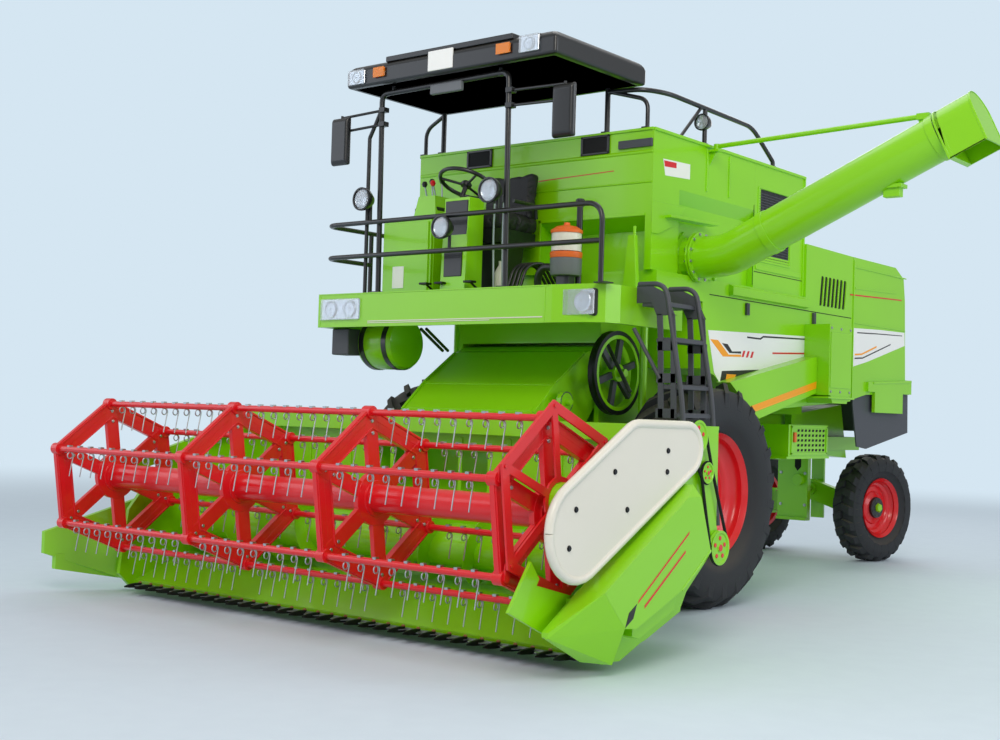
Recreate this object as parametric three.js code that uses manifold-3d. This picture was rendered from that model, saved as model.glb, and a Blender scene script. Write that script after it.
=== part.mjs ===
/**
 * Self-propelled combine harvester with a grain table, a six-bar tine reel and an open platform.
 *
 * Millimetres, +Z up. The machine drives towards -Y and its left side is +X. All places are
 * measured from the point where the middle of the front axle stands on the ground; at the end
 * the whole machine is moved so that the origin lies under the middle of its bounding box.
 */
import * as THREE from "three";
import { mergeVertices } from "three/addons/utils/BufferGeometryUtils.js";
import { ConvexGeometry } from "three/addons/geometries/ConvexGeometry.js";
import Module from "manifold-3d";

const wasm = await Module();
wasm.setup();

// ---------------------------------------------------------------- driving dimensions

const SEAT = 0.3; // gap between two pieces that stand or bolt on each other
const PIN_FIT = 0.5; // radial gap of a pin or shaft in its eye
const CLEAR = 6; // least gap between pieces that move past each other
const ROUND = 12; // sides of a plain round bar
const SHAFT = 20; // sides of a thick shaft and of its bore
const EYE_FIT = 0.3; // radial gap of a tine bar in the eyes of the reel
const TUBE_SIDES = 6; // sides of a bent tube

const WHEELBASE = 4150;
const FRONT_WHEEL = {
  tyreRadius: 770,
  tyreWidth: 450,
  rimRadius: 425,
  halfTrack: 1175,
  shaftRadius: 55,
  hubRadius: 120,
  sides: 20,
};
const REAR_WHEEL = {
  tyreRadius: 500,
  tyreWidth: 270,
  rimRadius: 280,
  halfTrack: 640,
  shaftRadius: 30,
  hubRadius: 75,
  sides: 16,
};
const STEER = { kingpinX: 445, restDegrees: -11, armLength: 200, tieZ: 610, kingpinRadius: 22 };

const CHASSIS = { railOuter: 630, railWidth: 70, bottom: 1040, top: 1160, front: -260, rear: 3800 };
const AXLE = { halfLength: 900, halfDepth: 105, bottom: 690, top: 880 };
const AXLE_HANGER = {
  half: 155, rearHalf: 65, front: 3726, rear: 4285, plate: 30, bottom: 355, pinRadius: 30, pinZ: 640,
};

const BODY = {
  halfWidth: 1083,
  coreHalf: 640,
  front: -455,
  coverFront: 150,
  shoulder: 2110,
  deckTop: 2275,
  step: 1735,
  rear: 2600,
  roof: 2700,
  coreBottom: 1200,
  shoeTop: 1345,
};
const THROAT = { half: 602, rear: -190, top: 1790 };
const HOOD = { halfWidth: 1085, rear: 3740, wall: 25, roof: 2685, skirt: 1690 };
const TANK = { halfWidth: 1055, front: -491, rear: 920, top: 3235, wall: 30 };
const AUGER_POCKET = { depth: 50, top: 2860, slope: 90, front: -150 };
const ENGINE = { halfWidth: 560, front: 1010, rear: 1650, height: 650 };

const DECK = { left: 1290, right: -1198, front: -1375, top: 2098, fascia: 239, plate: 40, wall: 30 };
const ROOF = { halfWidth: 924, front: -1437, rear: -400, bottom: 3543, height: 160, sheet: 22 };
const RAIL_TUBE = 17;
const POST_TUBE = 19;
const RAILING = { y: -1352, top: 2595, middle: 2360, left: 1252, right: -1175 };
const FRONT_POSTS = [-660, 480];
const REAR_POSTS = [-840, 660];
const LADDER = { front: -1000, rear: -640, plate: 12, railTube: 16, foot: 620 };

const FEEDER = { halfWidth: 595, pivotY: -392, pivotZ: 1583, hubRadius: 190, shaftRadius: 28 };
const DRIVE_PULLEY = { x: 700, width: 55, radius: 290 };
const TABLE = { right: -1750, left: 2150, sheet: 30, back: -1440, backTop: 1245, lip: -2500 };
const SCREW = {
  y: -1975, z: 490, tubeRadius: 130, flightRadius: 225, pitch: 350, flight: 8, steps: 10, stubRadius: 30,
};
const TROUGH_GAP = 22; // from the screw's flights to the trough
const COVER_FRONT = { top: [-2755, 434], low: [-2571, 246] }; // front edge of the side cover, in (y, z)
const KNIFE = { right: -1640, left: 2010, y: -2500, z: 62, fingers: 32, reach: 178, stroke: 38 };

const REEL = {
  y: -2753,
  z: 795,
  radius: 476,
  firstBar: 82,
  spiders: [-1616, -369, 756, 1961],
  tubeRadius: 80,
  stubRadius: 25,
  barRadius: 19,
  plate: 34,
};
const BAR_COUNT = 6;
const CRANK = { offset: 62, x: 1992, plate: 10, frameX: 2012, framePlate: 12, pinRadius: 9 };
const REEL_ARM = {
  right: -1700, left: 2060, width: 40, height: 76, pivotY: -1680, pivotZ: 1135, boss: 50, pinRadius: 20,
};
const REEL_STUB_END = 2096;

const LIFT = { baseY: -215, baseZ: 620, eyeY: -1150, eyeZ: 690, x: 330, barrelRadius: 45 };
const LIFT_ROD = { radius: 30, barrelLength: 560, pinRadius: 20, eyeRadius: 28 };

const DISCHARGE = {
  flangeX: 1110,
  y: 50,
  z: 2410,
  radius: 145,
  flangeRadius: 175,
  elbowX: 1330,
  endX: 2817,
  endZ: 3083,
  sides: 16,
};
// The spout's start and end are reaches from the elbow along the tube.
const SPOUT = { start: 1660, wall: 30, end: 1910, low: 207, sheet: 8 };
const SWING_HINGE = { y: 250, knuckleRadius: 18, pinRadius: 9 };
const STAY = { z: 3222, radius: 17, outerX: 2700, bracketTop: 3198 };

// ---------------------------------------------------------------- finishes

const FINISH = {
  green: { color: 0x9bdc00, roughness: 0.35, metalness: 0.0 },
  red: { color: 0xe8101c, roughness: 0.35, metalness: 0.0 },
  black: { color: 0x1c1e20, roughness: 0.4, metalness: 0.0 },
  charcoal: { color: 0x3b3d42, roughness: 0.5, metalness: 0.0 },
  tyre: { color: 0x3a3c40, roughness: 0.9, metalness: 0.0 },
  white: { color: 0xeeeae0, roughness: 0.4, metalness: 0.0 },
  orange: { color: 0xf0641e, roughness: 0.4, metalness: 0.0 },
  vinyl: { color: 0x232427, roughness: 0.6, metalness: 0.0 },
  steel: { color: 0x8f9296, roughness: 0.4, metalness: 0.9 },
  castIron: { color: 0x4c5250, roughness: 0.7, metalness: 0.6 },
};

// ---------------------------------------------------------------- solids

/** A manifold solid from a closed three.js geometry, facing outwards. */
function solidOf(geometry) {
  const plain = geometry.clone();
  for (const name of ["normal", "uv"]) plain.deleteAttribute(name);
  const merged = mergeVertices(plain, 1e-3);
  const kept = keepRealTriangles(Array.from(merged.index.array));
  const vertProperties = new Float32Array(merged.getAttribute("position").array);
  const build = (list) => {
    const data = { numProp: 3, vertProperties, triVerts: new Uint32Array(list) };
    return new wasm.Manifold(new wasm.Mesh(data));
  };
  const solid = build(kept);
  return solid.volume() < 0 ? build(turnedOver(kept)) : solid;
}

/** The triangles whose three corners are different. */
function keepRealTriangles(index) {
  const kept = [];
  for (let i = 0; i < index.length; i += 3) {
    const [a, b, c] = index.slice(i, i + 3);
    if (a !== b && b !== c && c !== a) kept.push(a, b, c);
  }
  return kept;
}

/** The same triangles wound the other way. */
function turnedOver(index) {
  const flipped = [];
  for (let i = 0; i < index.length; i += 3) flipped.push(index[i], index[i + 2], index[i + 1]);
  return flipped;
}

/** The three.js geometry of a solid. */
function geometryOf(solid) {
  const data = solid.getMesh();
  const geometry = new THREE.BufferGeometry();
  geometry.setAttribute("position", new THREE.BufferAttribute(new Float32Array(data.vertProperties), 3));
  geometry.setIndex(new THREE.BufferAttribute(new Uint32Array(data.triVerts), 1));
  return geometry;
}

/** One solid of several that touch or cross. */
function join(...solids) {
  return solids.flat(Infinity).reduce((whole, next) => whole.add(next));
}

/** A solid with others cut away from it. */
function cut(solid, ...tools) {
  return tools.flat(Infinity).reduce((rest, tool) => rest.subtract(tool), solid);
}

/** A box between two corners. */
function block([x0, x1], [y0, y1], [z0, z1]) {
  const geometry = new THREE.BoxGeometry(x1 - x0, y1 - y0, z1 - z0);
  geometry.translate((x0 + x1) / 2, (y0 + y1) / 2, (z0 + z1) / 2);
  return solidOf(geometry);
}

/** A six-sided block with a rectangle at each end: [x0, x1, y0, y1, z] below and above. */
function taperedBlock(below, above) {
  const geometry = new THREE.BoxGeometry(2, 2, 2);
  const place = geometry.getAttribute("position");
  for (let i = 0; i < place.count; i += 1) {
    const [x0, x1, y0, y1, z] = place.getZ(i) < 0 ? below : above;
    place.setXYZ(i, place.getX(i) < 0 ? x0 : x1, place.getY(i) < 0 ? y0 : y1, z);
  }
  return solidOf(geometry);
}

/** A six-sided block with a rectangle at its back and front: [x0, x1, y, z0, z1]. */
function noseBlock(front, back) {
  const geometry = new THREE.BoxGeometry(2, 2, 2);
  const place = geometry.getAttribute("position");
  for (let i = 0; i < place.count; i += 1) {
    const [x0, x1, y, z0, z1] = place.getY(i) < 0 ? front : back;
    place.setXYZ(i, place.getX(i) < 0 ? x0 : x1, y, place.getZ(i) < 0 ? z0 : z1);
  }
  return solidOf(geometry);
}

/** The convex body round a list of corners. */
function wedge(corners) {
  return solidOf(new ConvexGeometry(corners.map((corner) => new THREE.Vector3(...corner))));
}

/** Extrudes an outline with holes, then turns it with the given axes and moves it. */
function extruded(outline, holes, depth, axes, origin) {
  const vectors = (points) => points.map(([u, v]) => new THREE.Vector2(u, v));
  const shape = new THREE.Shape(vectors(outline));
  shape.holes = holes.map((hole) => new THREE.Path(vectors(hole)));
  const geometry = new THREE.ExtrudeGeometry(shape, { depth, bevelEnabled: false, curveSegments: 1 });
  const basis = axes.map((axis) => new THREE.Vector3(...axis));
  geometry.applyMatrix4(new THREE.Matrix4().makeBasis(...basis).setPosition(...origin));
  return solidOf(geometry);
}

/** A plate across the machine from x0 to x1, its outline in (y, z). */
function plateX(outline, x0, x1, holes = []) {
  const axes = [[0, 1, 0], [0, 0, 1], [1, 0, 0]];
  return extruded(outline, holes, x1 - x0, axes, [x0, 0, 0]);
}

/** A plate along the machine from y0 to y1, its outline in (x, z). */
function plateY(outline, y0, y1, holes = []) {
  const axes = [[1, 0, 0], [0, 0, 1], [0, -1, 0]];
  return extruded(outline, holes, y1 - y0, axes, [0, y1, 0]);
}

/** A level plate from z0 to z1, its outline in (x, y). */
function plateZ(outline, z0, z1, holes = []) {
  const axes = [[1, 0, 0], [0, 1, 0], [0, 0, 1]];
  return extruded(outline, holes, z1 - z0, axes, [0, 0, z0]);
}

/** Corners of a regular polygon round (u, v). */
function ring(u, v, radius, sides, turn = 0) {
  return Array.from({ length: sides }, (_, i) => {
    const angle = (2 * Math.PI * i) / sides + turn;
    return [u + radius * Math.cos(angle), v + radius * Math.sin(angle)];
  });
}

/** The tight outline round several discs [u, v, radius]. */
function outlineRound(discs, sides = 20) {
  const points = discs.flatMap(([u, v, radius]) => ring(u, v, radius, sides));
  points.sort((a, b) => a[0] - b[0] || a[1] - b[1]);
  const half = (list) => list.reduce((hull, p) => {
    while (hull.length > 1 && turn(hull.at(-2), hull.at(-1), p) <= 0) hull.pop();
    hull.push(p);
    return hull;
  }, []);
  return [...half(points).slice(0, -1), ...half([...points].reverse()).slice(0, -1)];
}

/** Positive where a, b, c turn to the left. */
function turn(a, b, c) {
  return (b[0] - a[0]) * (c[1] - a[1]) - (b[1] - a[1]) * (c[0] - a[0]);
}

/** A round bar between two points. */
function bar(from, to, radius, sides = ROUND) {
  const a = new THREE.Vector3(...from);
  const b = new THREE.Vector3(...to);
  const geometry = new THREE.CylinderGeometry(radius, radius, a.distanceTo(b), sides);
  const along = b.clone().sub(a).normalize();
  const turned = new THREE.Quaternion().setFromUnitVectors(new THREE.Vector3(0, 1, 0), along);
  geometry.applyQuaternion(turned);
  geometry.translate(...a.add(b).multiplyScalar(0.5).toArray());
  return solidOf(geometry);
}

/** A round hole for a pin or shaft of the given radius, sized over the flats of its sides. */
function boreFor(from, to, radius, sides = ROUND) {
  return bar(from, to, (radius + PIN_FIT) / Math.cos(Math.PI / sides), sides);
}

/** Corners of a round hole for a pin of the given radius. */
function boreRing(u, v, radius, sides = ROUND) {
  return ring(u, v, (radius + PIN_FIT) / Math.cos(Math.PI / sides), sides);
}

/** A route through points whose sections stand square to the bend at each point. */
class Route extends THREE.Curve {
  constructor(points) {
    super();
    this.points = points;
  }

  getPoint(t) {
    const place = Math.min(t, 1) * (this.points.length - 1);
    const i = Math.min(Math.floor(place), this.points.length - 2);
    return this.points[i].clone().lerp(this.points[i + 1], place - i);
  }

  getPointAt(u) {
    return this.getPoint(u);
  }

  getTangent(t) {
    const last = this.points.length - 1;
    const i = Math.round(Math.min(t, 1) * last);
    const before = this.points[i].clone().sub(this.points[Math.max(i - 1, 0)]).normalize();
    const after = this.points[Math.min(i + 1, last)].clone().sub(this.points[i]).normalize();
    return before.add(after).normalize();
  }

  getTangentAt(u) {
    return this.getTangent(u);
  }
}

/** The points of a route whose corners are cut by one short step each. */
function roundedRoute(corners, bend) {
  const points = corners.map((corner) => new THREE.Vector3(...corner));
  if (!bend) return points;
  const route = [points[0]];
  for (let i = 1; i < points.length - 1; i += 1) {
    const back = points[i - 1].clone().sub(points[i]);
    const on = points[i + 1].clone().sub(points[i]);
    const reach = Math.min(bend, back.length() * 0.45, on.length() * 0.45);
    const start = points[i].clone().add(back.setLength(reach));
    const end = points[i].clone().add(on.setLength(reach));
    route.push(start, end);
  }
  return [...route, points.at(-1)];
}

/** A bent tube, closed at both ends, through the given corners. */
function tube(corners, radius, bend = 0, sides = TUBE_SIDES) {
  const route = roundedRoute(corners, bend);
  const section = new THREE.Shape(ring(0, 0, radius, sides).map(([u, v]) => new THREE.Vector2(u, v)));
  const settings = { steps: route.length - 1, extrudePath: new Route(route), curveSegments: 1 };
  return solidOf(new THREE.ExtrudeGeometry(section, settings));
}

/** A turned solid about the X axis: profile points are [radius, x]. */
function turnedX(profile, sides, flatDown = false) {
  const reach = flatDown ? 1 / Math.cos(Math.PI / sides) : 1;
  const points = profile.map(([radius, x]) => new THREE.Vector2(radius * reach, x));
  const geometry = new THREE.LatheGeometry(points, sides);
  if (flatDown) geometry.rotateY(Math.PI / sides);
  geometry.rotateZ(-Math.PI / 2);
  return solidOf(geometry);
}

/** A named piece in its finish, with its solid measured from the given place. */
function piece(name, solid, finish, place = [0, 0, 0]) {
  const mesh = new THREE.Mesh(geometryOf(solid), new THREE.MeshStandardMaterial(FINISH[finish]));
  mesh.name = name;
  mesh.position.set(...place);
  return mesh;
}

/** A group of pieces that share a place and a turn about the vertical. */
function assembly(pieces, place = [0, 0, 0], degrees = 0) {
  const group = new THREE.Group();
  group.position.set(...place);
  group.rotation.z = THREE.MathUtils.degToRad(degrees);
  group.add(...pieces.flat());
  return group;
}

/** The same outline on both sides of the machine. */
function bothSides(make) {
  return [make(1), make(-1)];
}

// ---------------------------------------------------------------- wheels and axles

/** A tyre round its rim, centred on the wheel, with a flat of its tread on the ground. */
function tyre(size) {
  const half = size.tyreWidth / 2;
  const bead = size.rimRadius - 20 + PIN_FIT;
  const side = [[bead, 0.62], [size.rimRadius + 5, 0.62], [size.rimRadius + 60, 0.96]];
  const tread = [[size.tyreRadius - 40, 1], [size.tyreRadius, 0.8]];
  const right = [...side, ...tread].map(([radius, share]) => [radius, share * half]);
  const left = [...right].reverse().map(([radius, x]) => [radius, -x]);
  const profile = [...right, ...left];
  return turnedX([...profile, profile[0]], size.sides, true);
}

/** A dished rim with its hub, blind on the outside, its bore open towards the machine. */
function rim(size, side) {
  const half = size.tyreWidth / 2;
  const seat = size.rimRadius - 20;
  const flangeIn = 0.62 * half + PIN_FIT;
  const flangeOut = flangeIn + 14;
  const disc = 0.18 * half;
  const bore = size.shaftRadius + PIN_FIT;
  const profile = [
    [0, disc + 60], [size.hubRadius * 0.8, disc + 60], [size.hubRadius * 0.9, disc + 15],
    [seat - 14, disc - 20], [seat - 14, flangeOut],
    [size.rimRadius, flangeOut], [size.rimRadius, flangeIn], [seat, flangeIn], [seat, -flangeIn],
    [size.rimRadius, -flangeIn], [size.rimRadius, -flangeOut], [seat - 14, -flangeOut],
    [seat - 14, disc - 38], [size.hubRadius, disc - 10],
    [size.hubRadius, disc - 70], [bore, disc - 70], [bore, disc + 20], [0, disc + 20],
  ];
  return turnedX(profile.map(([radius, x]) => [radius, side * x]), size.sides, true);
}

/** How far a wheel's shaft reaches past the middle of the wheel. */
function shaftReach(size) {
  return 0.18 * (size.tyreWidth / 2) + 15;
}

function frontWheel(name, side) {
  const place = [side * FRONT_WHEEL.halfTrack, 0, FRONT_WHEEL.tyreRadius];
  return assembly([
    piece(`front_tyre_${name}`, tyre(FRONT_WHEEL), "tyre"),
    piece(`front_rim_${name}`, rim(FRONT_WHEEL, side), "red"),
  ], place);
}

/** A rear wheel with its knuckle, turned about its kingpin as it stands parked. */
function rearCorner(name, side) {
  const reach = REAR_WHEEL.halfTrack - STEER.kingpinX;
  const wheel = assembly([
    piece(`rear_tyre_${name}`, tyre(REAR_WHEEL), "tyre"),
    piece(`rear_rim_${name}`, rim(REAR_WHEEL, side), "red"),
  ], [side * reach, 0, 0]);
  const corner = assembly([
    piece(`steering_knuckle_${name}`, knuckle(side, reach), "green"),
    wheel,
  ], [side * STEER.kingpinX, WHEELBASE, REAR_WHEEL.tyreRadius], STEER.restDegrees);
  return corner;
}

const SLEEVE = { radius: 45, low: -100, high: 100 };
const TIE_PIN = 12;

/** Kingpin, yoke, wheel spindle and steering arm, measured from the kingpin at wheel height. */
function knuckle(side, reach) {
  const yoke = SLEEVE.high + PIN_FIT;
  const x = (from, to) => [Math.min(side * from, side * to), Math.max(side * from, side * to)];
  const plates = [1, -1].map((up) => {
    const levels = [up * yoke, up * (yoke + 22)].sort((a, b) => a - b);
    return block(x(-40, 82), [-45, 45], levels);
  });
  const tieLevel = STEER.tieZ - REAR_WHEEL.tyreRadius;
  const arm = block([-22, 22], [30, STEER.armLength + 26], [tieLevel - 9.5, tieLevel + 10]);
  const eye = boreFor([0, STEER.armLength, tieLevel - 11], [0, STEER.armLength, tieLevel + 11], TIE_PIN);
  return cut(join(
    plates,
    bar([0, 0, -yoke - 10], [0, 0, yoke + 10], STEER.kingpinRadius),
    block(x(55, 82), [-45, 45], [-yoke - 22, yoke + 22]),
    bar([side * 70, 0, 0], [side * (reach + shaftReach(REAR_WHEEL)), 0, 0], REAR_WHEEL.shaftRadius),
    arm,
  ), eye);
}

/** Track rod between the two steering arms, with a ball pin down through each arm's eye. */
function tieRod() {
  const turned = THREE.MathUtils.degToRad(STEER.restDegrees);
  const shift = [-STEER.armLength * Math.sin(turned), STEER.armLength * Math.cos(turned)];
  const ends = [1, -1].map((side) => [side * STEER.kingpinX + shift[0], WHEELBASE + shift[1]]);
  const level = STEER.tieZ + 36;
  const pins = ends.map(([x, y]) => bar([x, y, STEER.tieZ - 16], [x, y, level], TIE_PIN));
  const heads = ends.map(([x, y]) => bar([x, y, level - 20], [x, y, level + 14], 24));
  return join(bar([...ends[0], level], [...ends[1], level], 16), heads, pins);
}

/** Drive axle: a box beam with final drives, a gearbox and a shaft into each wheel. */
function frontAxle() {
  const z = FRONT_WHEEL.tyreRadius;
  const beam = block([-790, 790], [-AXLE.halfDepth, AXLE.halfDepth], [AXLE.bottom, AXLE.top]);
  const drives = bothSides((side) => {
    const x = [side * 780, side * AXLE.halfLength].sort((a, b) => a - b);
    return block(x, [-165, 165], [600, 960]);
  });
  const end = FRONT_WHEEL.halfTrack + shaftReach(FRONT_WHEEL);
  const shafts = bar([-end, 0, z], [end, 0, z], FRONT_WHEEL.shaftRadius);
  const gearbox = block([-210, 210], [60, 340], [610, 900]);
  return join(beam, drives, shafts, gearbox);
}

/** Rear axle beam that droops to a kingpin sleeve at each end and swings on a pin amidships. */
function rearAxle() {
  const outline = [
    [0, 735], [300, 640], [370, 594], [STEER.kingpinX, 594], [STEER.kingpinX, 406],
    [370, 406], [300, 445], [0, 540],
  ];
  const other = outline.map(([x, z]) => [-x, z]).reverse();
  const beam = plateY([...other, ...outline], WHEELBASE - 45, WHEELBASE + 45);
  const z = REAR_WHEEL.tyreRadius;
  const upright = (side, spare) => [SLEEVE.low - spare, SLEEVE.high + spare]
    .map((level) => [side * STEER.kingpinX, WHEELBASE, z + level]);
  const sleeves = bothSides((side) => bar(...upright(side, 0), SLEEVE.radius));
  const bores = bothSides((side) => boreFor(...upright(side, 5), STEER.kingpinRadius));
  const y = [WHEELBASE - 70, WHEELBASE + 70];
  const { pinZ, pinRadius } = AXLE_HANGER;
  const hub = bar([0, y[0], pinZ], [0, y[1], pinZ], 62);
  const hole = boreFor([0, y[0] - 5, pinZ], [0, y[1] + 5, pinZ], pinRadius, SHAFT);
  return cut(join(beam, hub, sleeves), bores, hole);
}

/** Ladder frame with body posts, platform posts, the lift rams' lugs and the rear axle's hanger. */
function chassisFrame() {
  const inner = CHASSIS.railOuter - CHASSIS.railWidth;
  const across = (side, from, to) => [side * from, side * to].sort((a, b) => a - b);
  const level = [CHASSIS.bottom, CHASSIS.top];
  const rails = bothSides((side) => block(
    across(side, inner, CHASSIS.railOuter), [CHASSIS.front, CHASSIS.rear], level));
  const members = [[CHASSIS.front, -170], [330, 400], [AXLE_HANGER.front, CHASSIS.rear]]
    .map((y) => block([-inner - 5, inner + 5], y, level));
  const spine = block([-130, 130], [AXLE_HANGER.front, AXLE_HANGER.rear], level);
  const axleSeats = bothSides((side) => block(
    across(side, inner, CHASSIS.railOuter), [-95, 95], [AXLE.top + SEAT, CHASSIS.bottom + 5]));
  const bodyPosts = bothSides((side) => [[-240, BODY.coreBottom], [2430, BODY.shoeTop]].map(([y, top]) =>
    block(across(side, inner + 10, CHASSIS.railOuter), [y, y + 70], [CHASSIS.top - 5, top - SEAT])));
  const platformPosts = bothSides((side) => join(
    block(across(side, inner, 880), [-258, -205], [CHASSIS.bottom, CHASSIS.top]),
    bar([side * 850, -232, 965], [side * 850, -232, BODY.shoulder - SEAT], 28)));
  return join(rails, members, spine, axleSeats, bodyPosts.flat(), platformPosts, liftLugs(), axleHanger());
}

/** Lugs under the first cross member that hold the pin of the lift rams. */
function liftLugs() {
  const lug = [[-255, CHASSIS.bottom + 5], [-172, CHASSIS.bottom + 5], [-172, 585], [-255, 585]];
  const eye = boreRing(LIFT.baseY, LIFT.baseZ, LIFT_ROD.pinRadius);
  return bothSides((side) => {
    const x = [side * 392, side * 410].sort((a, b) => a - b);
    return plateX(lug, x[0], x[1], [eye]);
  });
}

/** Two hanging plates with the pin on which the rear axle swings. */
function axleHanger() {
  const { half, rearHalf, front, rear, plate, bottom, pinRadius, pinZ } = AXLE_HANGER;
  const cap = block([-rearHalf, rearHalf], [front, rear], [CHASSIS.bottom - 40, CHASSIS.bottom + 5]);
  const frontPlate = block([-half, half], [front, front + plate], [bottom, CHASSIS.bottom + 5]);
  const rearPlate = block([-rearHalf, rearHalf], [rear - plate, rear], [bottom, CHASSIS.bottom]);
  const flanges = [-half, half - 14].map((x) => block(
    [x, x + 14], [front + plate - 5, front + plate + 34], [bottom, CHASSIS.bottom]));
  const pin = bar([0, front + 5, pinZ], [0, rear - 5, pinZ], pinRadius, SHAFT);
  return join(cap, frontPlate, rearPlate, flanges, pin);
}

// ---------------------------------------------------------------- body

/** Threshing body: a narrow core between the wheels with full-width covers above and behind. */
function thresherBody() {
  const core = plateX([
    [BODY.front, BODY.coreBottom], [400, BODY.coreBottom], [400, BODY.shoeTop],
    [BODY.rear, BODY.shoeTop], [BODY.rear, BODY.deckTop], [BODY.front, BODY.deckTop],
  ], -BODY.coreHalf, BODY.coreHalf);
  const covers = plateX([
    [BODY.front, BODY.shoulder], [BODY.coverFront, BODY.shoulder], [BODY.coverFront, 1640],
    [330, 1600], [820, 1345], [BODY.rear, 1470], [BODY.rear, BODY.roof - 12],
    [BODY.step + SEAT, BODY.roof], [BODY.step + SEAT, BODY.deckTop], [BODY.front, BODY.deckTop],
  ], -BODY.halfWidth, BODY.halfWidth);
  const throat = plateX([
    [BODY.front - 10, 1190], [-300, 1330], [THROAT.rear, 1395], [THROAT.rear, THROAT.top],
    [BODY.front - 10, THROAT.top],
  ], -THROAT.half, THROAT.half);
  const shaft = boreFor([-900, FEEDER.pivotY, FEEDER.pivotZ], [900, FEEDER.pivotY, FEEDER.pivotZ],
    FEEDER.shaftRadius, SHAFT);
  return cut(join(core, covers, sieveBox(), coverLip()), throat, shaft);
}

/** Slanting box along the left side, over the sieve drive. */
function sieveBox() {
  const outline = [[360, 1550], [1729, 1803], [1729, 1516], [800, 1300], [660, 1365]];
  return plateX(outline, BODY.halfWidth - 10, 1200);
}

/** Rounded lip over the left side panel. */
function coverLip() {
  const lip = [[BODY.halfWidth - 5, 2182], [1118, 2190], [1118, 2250], [BODY.halfWidth - 5, 2272]];
  return plateY(lip, 520, 1730);
}

/** Rear hood: a sheet-metal shell, open below and towards the body. */
function rearHood() {
  const { halfWidth, rear, wall, roof, skirt } = HOOD;
  const front = BODY.rear + SEAT;
  const outer = plateX([
    [front, 1480], [2900, 1535], [3700, 1560], [3830, 1560], [3830, skirt], [rear, skirt],
    [rear - 40, 2400], [rear - 80, 2600], [3480, roof], [front, roof + 3],
  ], -halfWidth, halfWidth);
  const room = plateX([
    [front - 10, 1400], [3900, 1400], [3900, skirt - 1], [rear - wall, skirt - 1],
    [rear - wall - 40, 2400], [rear - wall - 78, 2580], [3470, roof - wall], [front - 10, roof - wall],
  ], -halfWidth + wall, halfWidth - wall);
  const tabs = bothSides((side) => {
    const x = [side * (halfWidth - 5), side * (halfWidth + 24)].sort((a, b) => a - b);
    const tab = [[3040, 1385], [3640, 1385], [3640, 1562], [3830, 1562], [3830, skirt], [2900, 1645],
      [2900, 1562], [3040, 1562]];
    return plateX(tab, x[0], x[1]);
  });
  return join(cut(outer, room), tabs);
}

/** Straw deflector under the hood: two side sheets and a back sheet. */
function strawDeflector() {
  const half = HOOD.halfWidth - HOOD.wall - SEAT;
  const side = [[2700, 1600], [2700, 1450], [2800, 1090], [2990, 1070], [3880, 1215], [3865, 1600]];
  const sheets = bothSides((s) => {
    const x = [s * (half - 12), s * half].sort((a, b) => a - b);
    return plateX(side, x[0], x[1]);
  });
  const back = plateX([[3868, 1218], [3880, 1215], [3865, 1600], [3853, 1600]], -half, half);
  return join(sheets, back);
}

const SHOE_HALF = 540;

/** Lower casing: the cleaning fan's drum runs into the shoe's two hoppers. */
function cleaningShoe() {
  const fan = plateX(ring(720, 960, 285, 20), -SHOE_HALF, SHOE_HALF);
  const casing = plateX([
    [760, 1240], [880, 1130], [1180, 955], [1420, 955], [1800, 1080], [2350, 960], [2600, 960],
    [3300, 990], [3720, 965], [3590, 1455], [BODY.rear + 5, BODY.shoeTop - SEAT],
    [900, BODY.shoeTop - SEAT],
  ], -SHOE_HALF, SHOE_HALF);
  const neck = plateX([[720, 1220], [900, BODY.shoeTop - SEAT], [1000, 1000]], -SHOE_HALF, SHOE_HALF);
  return join(fan, casing, neck);
}

/** Grain tank: an open hopper with a pocket on the left for the discharge auger's flange. */
function grainTank() {
  const { halfWidth, front, rear, top, wall } = TANK;
  const floor = BODY.deckTop + SEAT;
  const shell = block([-halfWidth, halfWidth], [front, rear], [floor, top]);
  const inner = halfWidth - wall - AUGER_POCKET.depth - 15;
  const room = block([-inner, inner], [front + wall, rear - wall], [2880, top + 10]);
  const upper = block([wall - halfWidth, halfWidth - wall], [front + wall, rear - wall], [2905, top + 10]);
  const hopper = taperedBlock([-260, 260, 60, 560, 2400], [-inner, inner, front + wall, rear - wall, 2881]);
  const bay = plateX([[front - 5, floor - 5], [front - 5, 2640], [-330, 2560], [-330, floor - 5]], 120, 1000);
  return join(cut(shell, room, upper, hopper, bay, augerPocket(floor)), augerFlange(), stayBracket());
}

/** The space taken out of the tank's left side above the flange, with a sloping roof. */
function augerPocket(floor) {
  const back = TANK.halfWidth - AUGER_POCKET.depth;
  const outside = TANK.halfWidth + 10;
  const outline = [
    [back, floor - 5], [outside, floor - 5], [outside, AUGER_POCKET.top],
    [TANK.halfWidth, AUGER_POCKET.top], [back, AUGER_POCKET.top - AUGER_POCKET.slope],
  ];
  return plateY(outline, AUGER_POCKET.front, TANK.rear + 10);
}

/** Fixed outlet neck and flange, with two hinge eyes behind it. */
function augerFlange() {
  const { flangeX, y, z, radius, flangeRadius } = DISCHARGE;
  const back = TANK.halfWidth - AUGER_POCKET.depth;
  const face = flangeX - CLEAR / 2;
  const plate = plateX(ring(y, z, flangeRadius + 14, 8, Math.PI / 8), back - 5, back + 16);
  const neck = bar([back - 5, y, z], [face, y, z], radius, DISCHARGE.sides);
  const flange = bar([face - 16, y, z], [face, y, z], flangeRadius, DISCHARGE.sides);
  const eyes = [132, -132].map((up) => hingeEye(z + up, face));
  const deck = block([back - 10, BODY.halfWidth + SEAT], [y - 300, y + 300], [2000, BODY.deckTop + SEAT]);
  return cut(join(plate, neck, flange, eyes), deck);
}

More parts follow.
